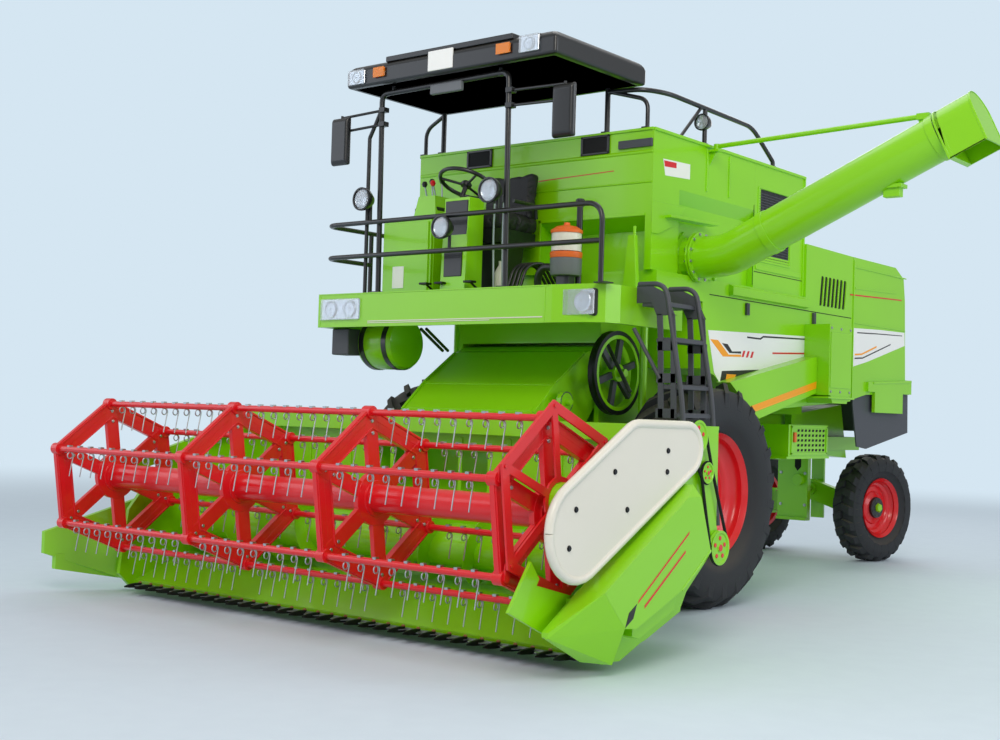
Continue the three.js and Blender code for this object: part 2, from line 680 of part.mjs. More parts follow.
/** One fixed eye of the discharge auger's upright hinge. */
function hingeEye(level, face) {
  const x = DISCHARGE.flangeX;
  const { y, knuckleRadius, pinRadius } = SWING_HINGE;
  const arm = block([face - 16, face], [DISCHARGE.y + 60, y], [level - 10, level + 10]);
  const knuckleRing = bar([x, y, level - 10], [x, y, level + 10], knuckleRadius);
  const hole = boreFor([x, y, level - 15], [x, y, level + 15], pinRadius);
  return cut(join(arm, knuckleRing), hole);
}

/** Bracket at the tank's top edge that carries the inner end of the stay. */
function stayBracket() {
  const x = DISCHARGE.flangeX;
  const y = SWING_HINGE.y;
  const edge = TANK.halfWidth - 5;
  const top = STAY.bracketTop;
  const plate = block([edge, x + 28], [y - 30, y + 30], [top - 14, top]);
  const gusset = plateY([[edge, top - 118], [x, top - 12], [edge, top - 12]], y - 6, y + 6);
  const hole = boreFor([x, y, top - 28], [x, y, top + 6], SWING_HINGE.pinRadius);
  return cut(join(plate, gusset), hole);
}

/** Engine cover behind the tank: open below, with a shallow place for the air grille. */
function engineCover() {
  const { halfWidth, rear, top } = TANK;
  const wall = 20;
  const floor = BODY.deckTop + SEAT;
  const shell = block([-halfWidth, halfWidth], [rear + SEAT, BODY.step], [floor, top]);
  const inside = [wall - halfWidth, halfWidth - wall];
  const room = block(inside, [rear + wall, BODY.step - wall], [floor - 10, top - wall]);
  const grille = block([halfWidth - 6, halfWidth + 5], [1010, 1480], [2540, 3035]);
  return cut(shell, room, grille);
}

function engineBlock() {
  const floor = BODY.deckTop + SEAT;
  const { halfWidth, front, rear, height } = ENGINE;
  return block([-halfWidth, halfWidth], [front, rear], [floor, floor + height]);
}

/** Returns elevator on the left: an upright box on the side of the body. */
function returnsElevator() {
  const x = [BODY.halfWidth + SEAT, 1300];
  const leg = block(x, [1730, 2130], [1500, 2060]);
  const foot = plateX([[1760, 1505], [2100, 1505], [2060, 1440], [1800, 1440]], ...x);
  return join(leg, foot);
}

/** Clean grain elevator on the right: it leads from the shoe's height up over the tank's edge. */
function grainElevator() {
  const x = [-1300, -BODY.halfWidth - SEAT];
  const leg = block(x, [1130, 1390], [1380, 3170]);
  const head = plateX([[1080, 3120], [1440, 3120], [1440, 3290], [1260, 3350], [1080, 3290]],
    -1300, -TANK.halfWidth - SEAT);
  return join(leg, head);
}

/** Battery box on a bracket outside the left rail. */
function batteryBox() {
  const x = CHASSIS.railOuter + SEAT;
  const box = block([x + 30, 930], [1800, 2510], [1002, 1262]);
  const shelf = block([x, 935], [1765, 2530], [985, 1004]);
  const hook = block([x, x + 40], [1900, 2400], [990, 1150]);
  return join(box, shelf, hook);
}

// ---------------------------------------------------------------- operator's station

/** Plan outline of the platform, with a rounded front left corner. */
function deckPlan(inset) {
  const { left, right, front } = DECK;
  const back = BODY.front - SEAT - inset;
  return [
    [right + inset, front + inset], [900, front + inset], [1150, front + 28 + inset],
    [left - 40 - inset * 0.7, front + 85 + inset * 0.7], [left - inset, front + 190], [left - inset, back],
    [right + inset, back],
  ];
}

/** Driver's platform: deck plate with a deep fascia round its front and ends. */
function operatorPlatform() {
  const { top, fascia, plate, wall } = DECK;
  const tray = plateZ(deckPlan(0), top - fascia, top);
  const below = plateZ(deckPlan(wall), top - fascia - 10, top - plate);
  const between = [DECK.right + wall, DECK.left - wall];
  const openBack = block(between, [-560, BODY.front + 5], [top - fascia - 10, top - plate]);
  return cut(tray, below, openBack);
}

/** Front posts with their cross tube and the two guard rails. */
function canopyFrame() {
  const foot = DECK.top + SEAT;
  const y = RAILING.y + 30;
  const [right, left] = FRONT_POSTS;
  const hoop = tube([[right, y, foot], [right, y, 3500], [left, y, 3510], [left, y, foot]], POST_TUBE, 60);
  const ceiling = ROOF.bottom + ROOF.height - ROOF.sheet - SEAT;
  const hangers = [right + 90, left - 90].map((x) => bar([x, y, 3495], [x, y, ceiling], 14, TUBE_SIDES));
  const topRail = tube([
    [RAILING.left, RAILING.y, foot], [RAILING.left, RAILING.y, RAILING.top],
    [RAILING.right, RAILING.y, RAILING.top], [RAILING.right, -700, RAILING.top],
  ], RAIL_TUBE, 90);
  const middleRail = tube([
    [RAILING.left, RAILING.y, RAILING.middle], [RAILING.right, RAILING.y, RAILING.middle],
    [RAILING.right, -880, RAILING.middle],
  ], RAIL_TUBE, 90);
  const corner = [RAILING.right, -880];
  const sidePost = bar([...corner, foot], [...corner, RAILING.top], RAIL_TUBE, TUBE_SIDES);
  return join(hoop, hangers, topRail, middleRail, sidePost, mirror(left, 965), mirror(right, -1010));
}

/** Sheet-metal sunshade with a deep rim, hollow below, and a raised middle panel. */
function canopyRoof() {
  const { halfWidth, front, rear, bottom, height, sheet } = ROOF;
  const top = bottom + height;
  const slab = plateY([
    [-halfWidth, bottom], [halfWidth, bottom], [halfWidth, top - 30], [halfWidth - 60, top],
    [-halfWidth + 60, top], [-halfWidth, top - 30],
  ], front, rear);
  const panel = block([-560, 560], [front + 6, rear - 6], [top - 5, top + 28]);
  const inside = [sheet - halfWidth, halfWidth - sheet];
  const room = block(inside, [front + sheet, rear - sheet], [bottom - 5, top - sheet]);
  return cut(join(slab, panel), room);
}

/** Rear canopy posts with their hoops, and the guard rail along the tank's left edge. */
function tankRails() {
  const foot = TANK.top + SEAT;
  const y = TANK.front + TANK.wall / 2;
  const side = TANK.halfWidth - TANK.wall / 2;
  const ceiling = ROOF.bottom + ROOF.height - ROOF.sheet - SEAT;
  const posts = REAR_POSTS.map((x) => bar([x, y, foot], [x, y, ceiling], POST_TUBE, TUBE_SIDES));
  const [right, left] = REAR_POSTS;
  const hoops = [[right, -side + 20], [left, side - 50]].map(([from, to]) =>
    tube([[from, y, 3525], [to, y, 3430], [to, y, foot]], 15, 60));
  const header = bar([right, y, 3560], [left, y, 3560], 15, TUBE_SIDES);
  const sideRail = tube([
    [left, y, 3518], [side - 100, y, 3508], [side, -300, 3500], [side, 880, 3480],
    [side, 1215, foot + 40], [side, 1215, foot],
  ], RAIL_TUBE, 60);
  const strut = join(
    bar([side, -130, foot + 14], [side, 150, 3500], 12, TUBE_SIDES),
    block([side - 13, side + 13], [-148, -104], [foot, foot + 16]));
  const upright = bar([side, 190, foot], [side, 190, 3505], RAIL_TUBE, TUBE_SIDES);
  return join(posts, hoops, header, sideRail, strut, upright);
}

const SEAT_AT = { x: -50, y: -780, cushion: 2550 };

/** Seat pedestal with its pan and the carrier of the backrest. */
function seatBase() {
  const { x, y, cushion } = SEAT_AT;
  const foot = DECK.top + SEAT;
  const box = taperedBlock(
    [x - 90, x + 90, y - 130, y + 130, foot],
    [x - 120, x + 120, y - 170, y + 170, cushion - 90],
  );
  const pan = block([x - 200, x + 200], [y - 200, y + 190], [cushion - 95, cushion - SEAT]);
  const rear = block([x - 60, x + 60], [y + 195, y + 212], [cushion - 60, cushion + 260]);
  const link = block([x - 60, x + 60], [y + 150, y + 212], [cushion - 60, cushion - 30]);
  return join(box, pan, rear, link);
}

/** Seat cushion and backrest in one upholstered shell. */
function seatPads() {
  const { x, y, cushion } = SEAT_AT;
  const cushionPad = block([x - 225, x + 225], [y - 220, y + 190], [cushion, cushion + 115]);
  const back = taperedBlock(
    [x - 225, x + 225, y + 100, y + 194, cushion + 100],
    [x - 190, x + 190, y + 130, y + 194, cushion + 435],
  );
  return join(cushionPad, back);
}

const WHEEL_AT = { x: -60, y: -1105, z: 2850, radius: 190, tilt: 24 };

/** Green tower that carries the steering shaft. */
function steeringColumn() {
  const { x, y } = WHEEL_AT;
  const foot = DECK.top + SEAT;
  return taperedBlock([x - 120, x + 100, y - 110, y + 70, foot], [x - 110, x + 110, y - 90, y + 60, 2740]);
}

/** Steering wheel with three spokes on its shaft, tilted towards the driver. */
function steeringWheel() {
  const { radius, tilt } = WHEEL_AT;
  const hoop = new THREE.TorusGeometry(radius, 14, 6, 16);
  const spokes = [90, 210, 330].map((degrees) => {
    const angle = THREE.MathUtils.degToRad(degrees);
    return bar([0, 0, -14], [radius * Math.cos(angle), radius * Math.sin(angle), 0], 11, TUBE_SIDES);
  });
  const hub = bar([0, 0, -24], [0, 0, 8], 36, 8);
  const shaft = bar([0, 0, -113], [0, 0, -10], 16, 8);
  const wheel = join(solidOf(hoop), spokes, hub, shaft);
  return wheel.rotate([-tilt, 0, 0]);
}

/** Control cabinet to the right of the driver, with the lever gate on top. */
function controlConsole() {
  const foot = DECK.top + SEAT;
  const cabinet = block([-1075, -600], [-850, -500], [foot, 2700]);
  const gate = taperedBlock([-830, -610, -800, -560, 2695], [-800, -640, -780, -600, 2860]);
  return join(cabinet, gate);
}

/** Air pre-cleaner: a bowl on its bracket with an intake stack. */
function airPrecleaner() {
  const profile = [[0, 2210], [98, 2210], [103, 2300], [103, 2470], [70, 2520], [30, 2545], [0, 2545]];
  const lathe = new THREE.LatheGeometry(profile.map(([r, z]) => new THREE.Vector2(r, z)), 16);
  lathe.rotateX(Math.PI / 2);
  lathe.translate(690, -950, 0);
  const stand = block([640, 740], [-985, -915], [DECK.top + SEAT, 2215]);
  const stack = tube([[690, -950, 2530], [730, -900, 2600], [730, -900, 2720]], 28, 30, ROUND);
  return join(solidOf(lathe), stand, stack);
}

/** A mirror on two arms welded to a front post. */
function mirror(post, head) {
  const y = RAILING.y + 30;
  const start = post;
  const arms = tube([[start, y, 3385], [head, y - 60, 3360], [head, y - 60, 3275], [start, y, 3275]], 10, 40);
  const glass = block([head - 88, head + 88], [y - 92, y - 62], [3005, 3365]);
  const stalk = block([head - 25, head + 25], [y - 75, y - 45], [3200, 3290]);
  return join(arms, glass, stalk);
}

const DRUM = { right: -1060, left: -700, y: -950, z: 1765, radius: 190 };

/** Fuel drum slung under the right end of the platform on two straps. */
function fuelDrum() {
  const { right, left, y, z, radius } = DRUM;
  const drum = bar([right, y, z], [left, y, z], radius, 20);
  const under = DECK.top - DECK.plate - SEAT;
  const straps = [right + 70, left - 70].map((x) =>
    block([x - 25, x + 25], [y - 60, y + 60], [z + radius - 40, under]));
  return join(drum, straps);
}

/** Side ladder: two sheet stringers, four treads, and tube stiles that reach down to the foot. */
function boardingLadder() {
  const rail = LADDER.railTube;
  const edge = DECK.left + SEAT;
  const stringer = [
    [edge, 2020], [edge, 2092], [1490, 2100], [1560, 2040], [1637, 1400], [1648, 1285],
    [1540, 1285], [1453, 1520], [1432, 1736],
  ];
  const slot = [[1535, 1560], [1565, 1560], [1565, 1680], [1535, 1680]];
  const sides = [LADDER.front, LADDER.rear].map((y) => join(
    plateY(stringer, y - LADDER.plate / 2, y + LADDER.plate / 2, [slot]),
    tube([
      [edge + 8, y, 2118], [1500, y, 2118], [1637, y, 1400], [1700, y, LADDER.foot],
    ], rail, 70),
  ));
  const treads = [[1330, 1500, 1990], [1440, 1575, 1765], [1470, 1620, 1475], [1545, 1640, 1300]]
    .map(([x0, x1, z]) => block([x0, x1], [LADDER.front, LADDER.rear], [z - 12, z + 12]));
  const rungs = [1080, 880, 690].map((z) => {
    const x = 1637 + (63 * (1400 - z)) / (1400 - LADDER.foot);
    return bar([x, LADDER.front, z], [x, LADDER.rear, z], 13, TUBE_SIDES);
  });
  return join(sides, treads, rungs);
}

// ---------------------------------------------------------------- header

/** Feeder house: a duct from the table up to its round rear end, which swings on the top shaft. */
function feederHouse() {
  const { halfWidth, pivotY, pivotZ, hubRadius, shaftRadius } = FEEDER;
  const mouth = TABLE.back + SEAT;
  const duct = plateX([
    [mouth, 560], [-700, 1048], [-400, 1400], [-392, 1770], [-548, 1720], [-889, 1491],
    [-1113, 1291], [-1250, 1230], [mouth, 1205],
  ], -halfWidth, halfWidth);
  const end = bar([-halfWidth, pivotY, pivotZ], [halfWidth, pivotY, pivotZ], hubRadius, 20);
  const bore = boreFor([-halfWidth - 5, pivotY, pivotZ], [halfWidth + 5, pivotY, pivotZ], shaftRadius, SHAFT);
  const channel = plateX([[mouth - 10, 640], [-1120, 850], [-1120, 1130], [mouth - 10, 1060]], -520, 520);
  return join(cut(join(duct, end), bore, channel), ramLugs(), idler());
}

/** Lugs and pin under the feeder house for the eyes of the lift rams. */
function ramLugs() {
  const { eyeY, eyeZ } = LIFT;
  const reach = LIFT.x + 100;
  const lug = [[eyeY - 60, 820], [eyeY + 60, 820], [eyeY + 34, eyeZ - 34], [eyeY - 34, eyeZ - 34]];
  const plates = bothSides((side) => {
    const x = [side * (reach - 20), side * reach].sort((a, b) => a - b);
    return plateX(lug, x[0], x[1]);
  });
  return join(plates, bar([-reach + 5, eyeY, eyeZ], [reach - 5, eyeY, eyeZ], LIFT_ROD.pinRadius));
}

/** Idler on the left side of the feeder house. */
function idler() {
  const wheel = bar([FEEDER.halfWidth + 45, -880, 1370], [FEEDER.halfWidth + 85, -880, 1370], 70, 16);
  const stub = bar([FEEDER.halfWidth - 5, -880, 1370], [FEEDER.halfWidth + 120, -880, 1370], 22);
  return join(wheel, stub);
}

/** Spoked drive pulley on the feeder's top shaft. */
function feederDrive() {
  const { x, width, radius } = DRIVE_PULLEY;
  const { pivotY, pivotZ, shaftRadius } = FEEDER;
  const shaft = bar([-690, pivotY, pivotZ], [x + width + 60, pivotY, pivotZ], shaftRadius, SHAFT);
  const windows = [...Array(6).keys()].map((i) => {
    const angle = (i * Math.PI) / 3 + 0.3;
    return ring(pivotY + 155 * Math.cos(angle), pivotZ + 155 * Math.sin(angle), 58, 6, angle);
  });
  const disc = plateX(ring(pivotY, pivotZ, radius, 24), x, x + width, windows);
  return join(shaft, disc, bar([x - 20, pivotY, pivotZ], [x + width + 20, pivotY, pivotZ], 60));
}

/** Section of the table through the screw's trough, in (y, z). */
function tableSection() {
  const bend = SCREW.flightRadius + TROUGH_GAP;
  const trough = [255, 270, 293, 315, 338].map((degrees) => {
    const angle = THREE.MathUtils.degToRad(degrees);
    return [SCREW.y + bend * Math.cos(angle), SCREW.z + bend * Math.sin(angle)];
  });
  const { back, backTop, lip } = TABLE;
  return [
    [lip, 52], [lip, 84], ...trough, [back - 60, 580], [back - 60, backTop - 100],
    [back - 160, backTop - 100], [back - 160, backTop], [back, backTop], [back, 550],
    [back - 60, 530], [-1745, 345], [-1805, 256], [-1890, 214], [SCREW.y, 195], [-2146, 132], [lip + 120, 45],
  ];
}

/** Outline of an end sheet in (y, z). */
function endSheet() {
  const { back, backTop } = TABLE;
  return [
    [back, 550], [back, backTop], [-1735, 1176], [-2250, 940], [-2560, 560], [-2620, 130],
    [-2530, 45], [-2146, 125], [-1805, 243], [-1780, 350], [back - 60, 540],
  ];
}

/** Grain table: back, trough and floor in one pressing, an end sheet and a pivot pin on each side. */
function headerTable() {
  const { right, left, sheet, back } = TABLE;
  const pan = plateX(tableSection(), right, left);
  const mouth = block([-525, 525], [back - 80, back + 10], [580, 1060]);
  const ends = [plateX(endSheet(), right, right + sheet), plateX(endSheet(), left - sheet, left)];
  const shafts = [
    [SCREW.y, SCREW.z, SCREW.stubRadius, sheet + 60],
    [REEL_ARM.pivotY, REEL_ARM.pivotZ, REEL_ARM.pinRadius, sheet + 66],
  ].map(([y, z, radius, reach]) => join(
    bar([right + 5, y, z], [right + reach, y, z], radius, SHAFT),
    bar([left - reach, y, z], [left - 5, y, z], radius, SHAFT)));
  return join(cut(pan, mouth), ends, shafts);
}

/** A screw flight round the table auger's tube from x0 to x1, made of flat sectors. */
function screwFlight(x0, x1, hand) {
  const { tubeRadius, flightRadius, pitch, flight, steps } = SCREW;
  const spread = (1.07 * Math.PI) / steps;
  const inner = tubeRadius - 20;
  const outer = flightRadius * Math.cos(spread);
  const sector = plateX([
    [inner, -inner * Math.tan(spread)], [outer, -outer * Math.tan(spread)],
    [outer, outer * Math.tan(spread)], [inner, inner * Math.tan(spread)],
  ], -flight / 2, flight / 2);
  const rise = Math.atan(pitch / (Math.PI * (tubeRadius + flightRadius)));
  const tilted = sector.rotate([0, hand * THREE.MathUtils.radToDeg(rise), 0]);
  const count = Math.floor((steps * (x1 - x0)) / pitch);
  return Array.from({ length: count }, (_, i) =>
    tilted.rotate([(hand * 360 * i) / steps, 0, 0]).translate([x0 + (pitch * (i + 0.5)) / steps, 0, 0]));
}

/** Table auger: a tube with two opposed flights that meet in front of the feeder house. */
function tableAuger() {
  const inside = [TABLE.right + TABLE.sheet + CLEAR, TABLE.left - TABLE.sheet - CLEAR];
  const margin = 25;
  const flights = [
    screwFlight(inside[0] + margin, -420, 1),
    screwFlight(420, inside[1] - margin, -1),
  ];
  const drum = bar([inside[0], 0, 0], [inside[1], 0, 0], SCREW.tubeRadius);
  const bores = [[inside[0] - 5, inside[0] + 70], [inside[1] - 70, inside[1] + 5]].map(([x0, x1]) =>
    boreFor([x0, 0, 0], [x1, 0, 0], SCREW.stubRadius, SHAFT));
  return cut(join(drum, flights), bores);
}

/** Finger bar with its row of pointed guards, and the knife strip that rests on it. */
function cutterBar() {
  const { right, left, y, z, fingers, reach } = KNIFE;
  const pitch = (left - right) / fingers;
  const points = [...Array(fingers).keys()].flatMap((i) => {
    const x = right + pitch * (i + 0.5);
    return [[x - 16, y - 70], [x - 3, y - reach], [x + 3, y - reach], [x + 16, y - 70]];
  });
  const outline = [[right, y - SEAT], [right, y - 70], ...points, [left, y - 70], [left, y - SEAT]];
  return join(plateZ(outline, z - 14, z), sickleKnife());
}

/** Sickle: a flat strip along the finger bar, behind the roots of the guards. */
function sickleKnife() {
  const { right, left, y, z, stroke } = KNIFE;
  return block([right + stroke, left - stroke], [y - 64, y - 28], [z - 2, z + 8]);
}

/** White guard over the reel's belt drive, outside the left end sheet. */
function beltGuard() {
  const discs = [[-2862, 728, 256], [-1885, 1122, 150], [-2360, 1075, 200]];
  const shell = plateX(outlineRound(discs, 24), 2190, 2240);
  const posts = [[-2240, 860], [-1860, 1100]].map(([y, z]) =>
    bar([TABLE.left + SEAT, y, z], [2195, y, z], 22));
  return join(shell, posts);
}

/** Green cover under the belt guard, bevelled along its top edge. */
function sideCover() {
  const inner = TABLE.left + SEAT;
  const { top, low } = COVER_FRONT;
  const outline = [top, [-1897, 935], [-1821, 737], [-1761, 579], [-2048, 389], [-2465, 235], low];
  const bevel = plateY([[2225, 1000], [2350, 1000], [2350, 800]], -2800, -1700);
  const body = plateX(outline, inner, 2305);
  const tray = plateX([
    [-2440, 262], [-2060, 402], [-2028, 392], [-2052, 286], [-2380, 171], [-2440, 190],
  ], inner, 2262);
  return join(cut(body, bevel), tray);
}

/** Three belt pulleys on a bracket plate behind the side cover. */
function headerDrive() {
  const inner = TABLE.left + SEAT;
  const pulleys = [[-1707, 1186, 93], [-1599, 988, 60], [-1446, 567, 98]];
  const plate = plateX(outlineRound(pulleys.map(([y, z]) => [y, z, 34]), 8), inner, inner + 10);
  const wheels = pulleys.map(([y, z, radius]) => join(
    bar([inner + 5, y, z], [inner + 38, y, z], 16, 8),
    bar([inner + 12, y, z], [inner + 35, y, z], radius)));
  return join(plate, wheels);
}

/** Left crop divider: a folded nose in front of the end sheet and a thin deflector that reaches forward. */
function leftDivider() {
  const beside = TABLE.left + SEAT;
  const [top, low] = [COVER_FRONT.top, COVER_FRONT.low].map(([y, z]) => [y - 2 * SEAT, z]);
  const outer = wedge([
    [beside, -3018, 225], [beside, -3018, 258], [2168, -3018, 228], [2168, -3018, 255],
    [beside, ...top], [2305, ...top], [beside, ...low], [2305, ...low],
    [beside, low[0], 60], [2235, low[0], 60], [beside, -2728, 83],
  ]);
  const sheetFront = -2628;
  const inner = wedge([
    [2125, -3010, 230], [beside + 2, -3010, 230], [2125, -3010, 254], [beside + 2, -3010, 254],
    ...[[-2690, 425], [sheetFront, 400], [sheetFront, 70]].flatMap(([y, z]) =>
      [[2100, y, z], [beside + 2, y, z]]),
  ]);
  const deflector = plateX([
    [-3218, 358], [-3055, 586], [-2988, 500], [-3007, 469], [-2704, 393], [-2911, 219],
  ], 2068, 2086);
  const bracket = block([2072, 2145], [-2765, -2705], [352, 388]);
  const behindEdge = plateX([top, low, [low[0], top[1]]], TABLE.left, beside + 10);
  return join(outer, cut(inner, behindEdge), deflector, bracket);
}

/** Right crop divider: a snout that flares outwards to its point. */
function rightDivider() {
  const edge = TABLE.right - SEAT;
  const snout = noseBlock([-2120, -2085, -2960, 255, 400], [edge - 40, edge, -2420, 42, 640]);
  const shoe = noseBlock([edge - 330, edge - 290, -2900, 150, 250], [edge - 60, edge, -2300, 42, 300]);
  return join(snout, shoe);
}

// ---------------------------------------------------------------- reel

/** Angle of one tine bar, from the rear horizontal, in the (y, z) plane. */
function barAngle(i) {
  return THREE.MathUtils.degToRad(REEL.firstBar + (360 * i) / BAR_COUNT);
}

/** Centre of one tine bar from the reel's axis, in (y, z). */
function barCentre(i) {
  return [-REEL.radius * Math.cos(barAngle(i)), REEL.radius * Math.sin(barAngle(i))];
}

/** Six-sided spider with six windows, round the reel's axis. */
function spider(x) {
  const centres = [...Array(BAR_COUNT).keys()].map(barCentre);
  const outline = outlineRound(centres.map(([y, z]) => [y, z, 34]), 6);
  const windows = centres.map(([y0, z0], i) => {
    const [y1, z1] = centres[(i + 1) % BAR_COUNT];
    const middle = [(y0 + y1) / 2, (z0 + z1) / 2];
    const corner = (share, pull) => [
      middle[0] * share + (y0 - middle[0]) * pull, middle[1] * share + (z0 - middle[1]) * pull];
    const other = (share, pull) => [
      middle[0] * share + (y1 - middle[0]) * pull, middle[1] * share + (z1 - middle[1]) * pull];
    return [corner(0.8, 0.62), corner(0.38, 0.1), other(0.38, 0.1), other(0.8, 0.62)];
  });
  const half = REEL.plate / 2;
  return plateX(outline, x - half, x + half, windows);
}

/** Reel: the central tube, its end stubs and four spiders with an eye for every tine bar. */
function reelRotor() {
  const first = REEL.spiders[0];
  const last = REEL.spiders.at(-1);
  const drum = bar([first - 20, 0, 0], [last + 20, 0, 0], REEL.tubeRadius);
  const stubs = bar([REEL_ARM.right + 4, 0, 0], [REEL_STUB_END, 0, 0], REEL.stubRadius, SHAFT);
  const hole = (REEL.barRadius + EYE_FIT) / Math.cos(Math.PI / ROUND);
  const eyes = [...Array(BAR_COUNT).keys()].map((i) => {
    const [y, z] = barCentre(i);
    return bar([first - 100, y, z], [last + 100, y, z], hole);
  });
  return cut(join(drum, stubs, REEL.spiders.map(spider)), eyes);
}

/** One tine bar with its crank, measured from the bar's own axis. */
function tineBar() {
  const end = CRANK.x;
  const rail = bar([REEL.spiders[0] - 34, 0, 0], [end + 4, 0, 0], REEL.barRadius);
  const crank = plateX(outlineRound([[0, 0, 20], [0, CRANK.offset, 15]], 8), end, end + CRANK.plate);
  const pinEnd = CRANK.frameX + CRANK.framePlate + 6;
  const pin = bar([end, 0, CRANK.offset], [pinEnd, 0, CRANK.offset], CRANK.pinRadius, 10);
  return join(rail, crank, pin);
}

const ECCENTRIC_RADIUS = 95;

/** Feathering frame: a six-armed star round the eccentric, measured from its own centre. */
function featheringFrame() {
  const x = [CRANK.frameX, CRANK.frameX + CRANK.framePlate];
  const hub = plateX(ring(0, 0, ECCENTRIC_RADIUS + 30, 16), x[0], x[1]);
  const band = [REEL.radius + 30, REEL.radius - 30].map((radius) =>
    ring(0, 0, radius, BAR_COUNT, Math.PI - barAngle(0)));
  const rimBand = plateX(band[0], x[0], x[1], [band[1]]);
  const arms = [0, 1, 2].map((i) => {
    const [y, z] = barCentre(i);
    return flatBar([y * 0.97, z * 0.97], [-y * 0.97, -z * 0.97], 42, x);
  });
  const opening = plateX(boreRing(0, 0, ECCENTRIC_RADIUS, 16), x[0] - 5, x[1] + 5);
  const eyes = [...Array(BAR_COUNT).keys()].map((i) => {
    const [y, z] = barCentre(i);
    return boreFor([x[0] - 5, y, z], [x[1] + 5, y, z], CRANK.pinRadius, 10);
  });
  return cut(join(hub, rimBand, arms), eyes, opening);
}

/** A flat strip between two points of the (y, z) plane. */
function flatBar([y0, z0], [y1, z1], width, [x0, x1]) {
  const length = Math.hypot(y1 - y0, z1 - z0);
  const u = [((z1 - z0) / length) * (width / 2), (-(y1 - y0) / length) * (width / 2)];
  const outline = [
    [y0 - u[0], z0 - u[1]], [y0 + u[0], z0 + u[1]], [y1 + u[0], z1 + u[1]], [y1 - u[0], z1 - u[1]],
  ];
  return plateX(outline, x0, x1);
}

/** One reel arm from its pivot on the end sheet to the reel's axis, from x to x + width. */
function reelArm(x) {
  const { width, height, pivotY, pivotZ, boss, pinRadius } = REEL_ARM;
  const reach = [REEL.y - pivotY, REEL.z - pivotZ];
  const length = Math.hypot(...reach);
  const u = [(-reach[1] / length) * (height / 2), (reach[0] / length) * (height / 2)];
  const outline = [
    [pivotY + u[0], pivotZ + u[1]], [pivotY - u[0], pivotZ - u[1]],
    [REEL.y - u[0], REEL.z - u[1]], [REEL.y + u[0], REEL.z + u[1]],
  ];
  const arm = join(
    plateX(outline, x, x + width),
    bar([x, REEL.y, REEL.z], [x + width, REEL.y, REEL.z], 62),
    bar([x, pivotY, pivotZ], [x + width, pivotY, pivotZ], boss));
  return cut(arm, boreFor([x - 5, pivotY, pivotZ], [x + width + 5, pivotY, pivotZ], pinRadius, SHAFT));
}

/** Bore for the reel's stub from x0 to x1. */
function reelBore(x0, x1) {
  return boreFor([x0, REEL.y, REEL.z], [x1, REEL.y, REEL.z], REEL.stubRadius, SHAFT);
}

/** Right reel arm. */
function rightReelArm() {
  const { right, width } = REEL_ARM;
  return cut(reelArm(right), reelBore(right - 5, right + width + 5));
}

/** Left reel arm with the eccentric that carries the feathering frame. */
function leftReelArm() {
  const { left, width } = REEL_ARM;
  const centre = REEL.z + CRANK.offset;
  const disc = bar([CRANK.frameX, REEL.y, centre], [left + 5, REEL.y, centre], ECCENTRIC_RADIUS, 16);
  return cut(join(reelArm(left), disc), reelBore(CRANK.frameX - 5, left + width + 5));
}

// ---------------------------------------------------------------- lift rams

/** Turns a solid built along -Y at the origin to run from the ram's base to its eye. */
function alongRam(solid) {
  const pitch = Math.atan2(LIFT.eyeZ - LIFT.baseZ, LIFT.baseY - LIFT.eyeY);
  return solid.rotate([-THREE.MathUtils.radToDeg(pitch), 0, 0]).translate([0, LIFT.baseY, LIFT.baseZ]);
}

/** Both lift barrels with the pin that joins their lower ends. */
function liftBarrels() {
  const { barrelLength, radius, pinRadius } = LIFT_ROD;
  const barrels = bothSides((side) => {
    const x = side * LIFT.x;
    const shell = bar([x, 30, 0], [x, -barrelLength, 0], LIFT.barrelRadius, 16);
    const bore = bar([x, -60, 0], [x, -barrelLength - 5, 0], radius + PIN_FIT);
    return cut(shell, bore);
  });
  return alongRam(join(barrels, bar([-418, 0, 0], [418, 0, 0], pinRadius)));
}

/** Both lift rods, joined by the sleeve that lies round the feeder's pin. */
function liftRods() {
  const length = Math.hypot(LIFT.baseY - LIFT.eyeY, LIFT.eyeZ - LIFT.baseZ);
  const { radius, eyeRadius } = LIFT_ROD;
  const rods = bothSides((side) => bar([side * LIFT.x, -130, 0], [side * LIFT.x, -length, 0], radius));
  const reach = LIFT.x + 45;
  const sleeve = bar([-reach, -length, 0], [reach, -length, 0], eyeRadius + 14);
  const bore = bar([-reach - 5, -length, 0], [reach + 5, -length, 0], eyeRadius);
  return alongRam(cut(join(rods, sleeve), bore));
}

// ---------------------------------------------------------------- discharge auger

/** Swinging flange, elbow and tube, with the hinge barrel and its pin behind the flange. */
function dischargeTube() {
  const { flangeX, y, z, radius, flangeRadius, elbowX, endX, endZ } = DISCHARGE;
  const face = flangeX + CLEAR / 2;
  const neck = tube([[face, y, z], [elbowX, y, z], [endX, y, endZ]], radius, 60, DISCHARGE.sides);
  const flange = bar([face, y, z], [face + 16, y, z], flangeRadius, DISCHARGE.sides);
  const arm = block([face, face + 14], [y + 60, SWING_HINGE.y], [z - 100, z + 100]);
  const hinge = SWING_HINGE;
  const barrel = bar([flangeX, hinge.y, z - 114], [flangeX, hinge.y, z + 114], hinge.knuckleRadius);
  const pin = bar([flangeX, hinge.y, z - 148], [flangeX, hinge.y, z + 148], hinge.pinRadius);
  const saddle = block([2410, 2570], [y - 40, y + 40], [2776, 2860]);
  const { outerX } = STAY;
  const stayPost = block([outerX - 30, outerX + 30], [y - 8, y + 8], [3150, STAY.z - STAY.radius - SEAT]);
  return join(neck, flange, arm, barrel, pin, saddle, stayPost, dischargeSpout());
}

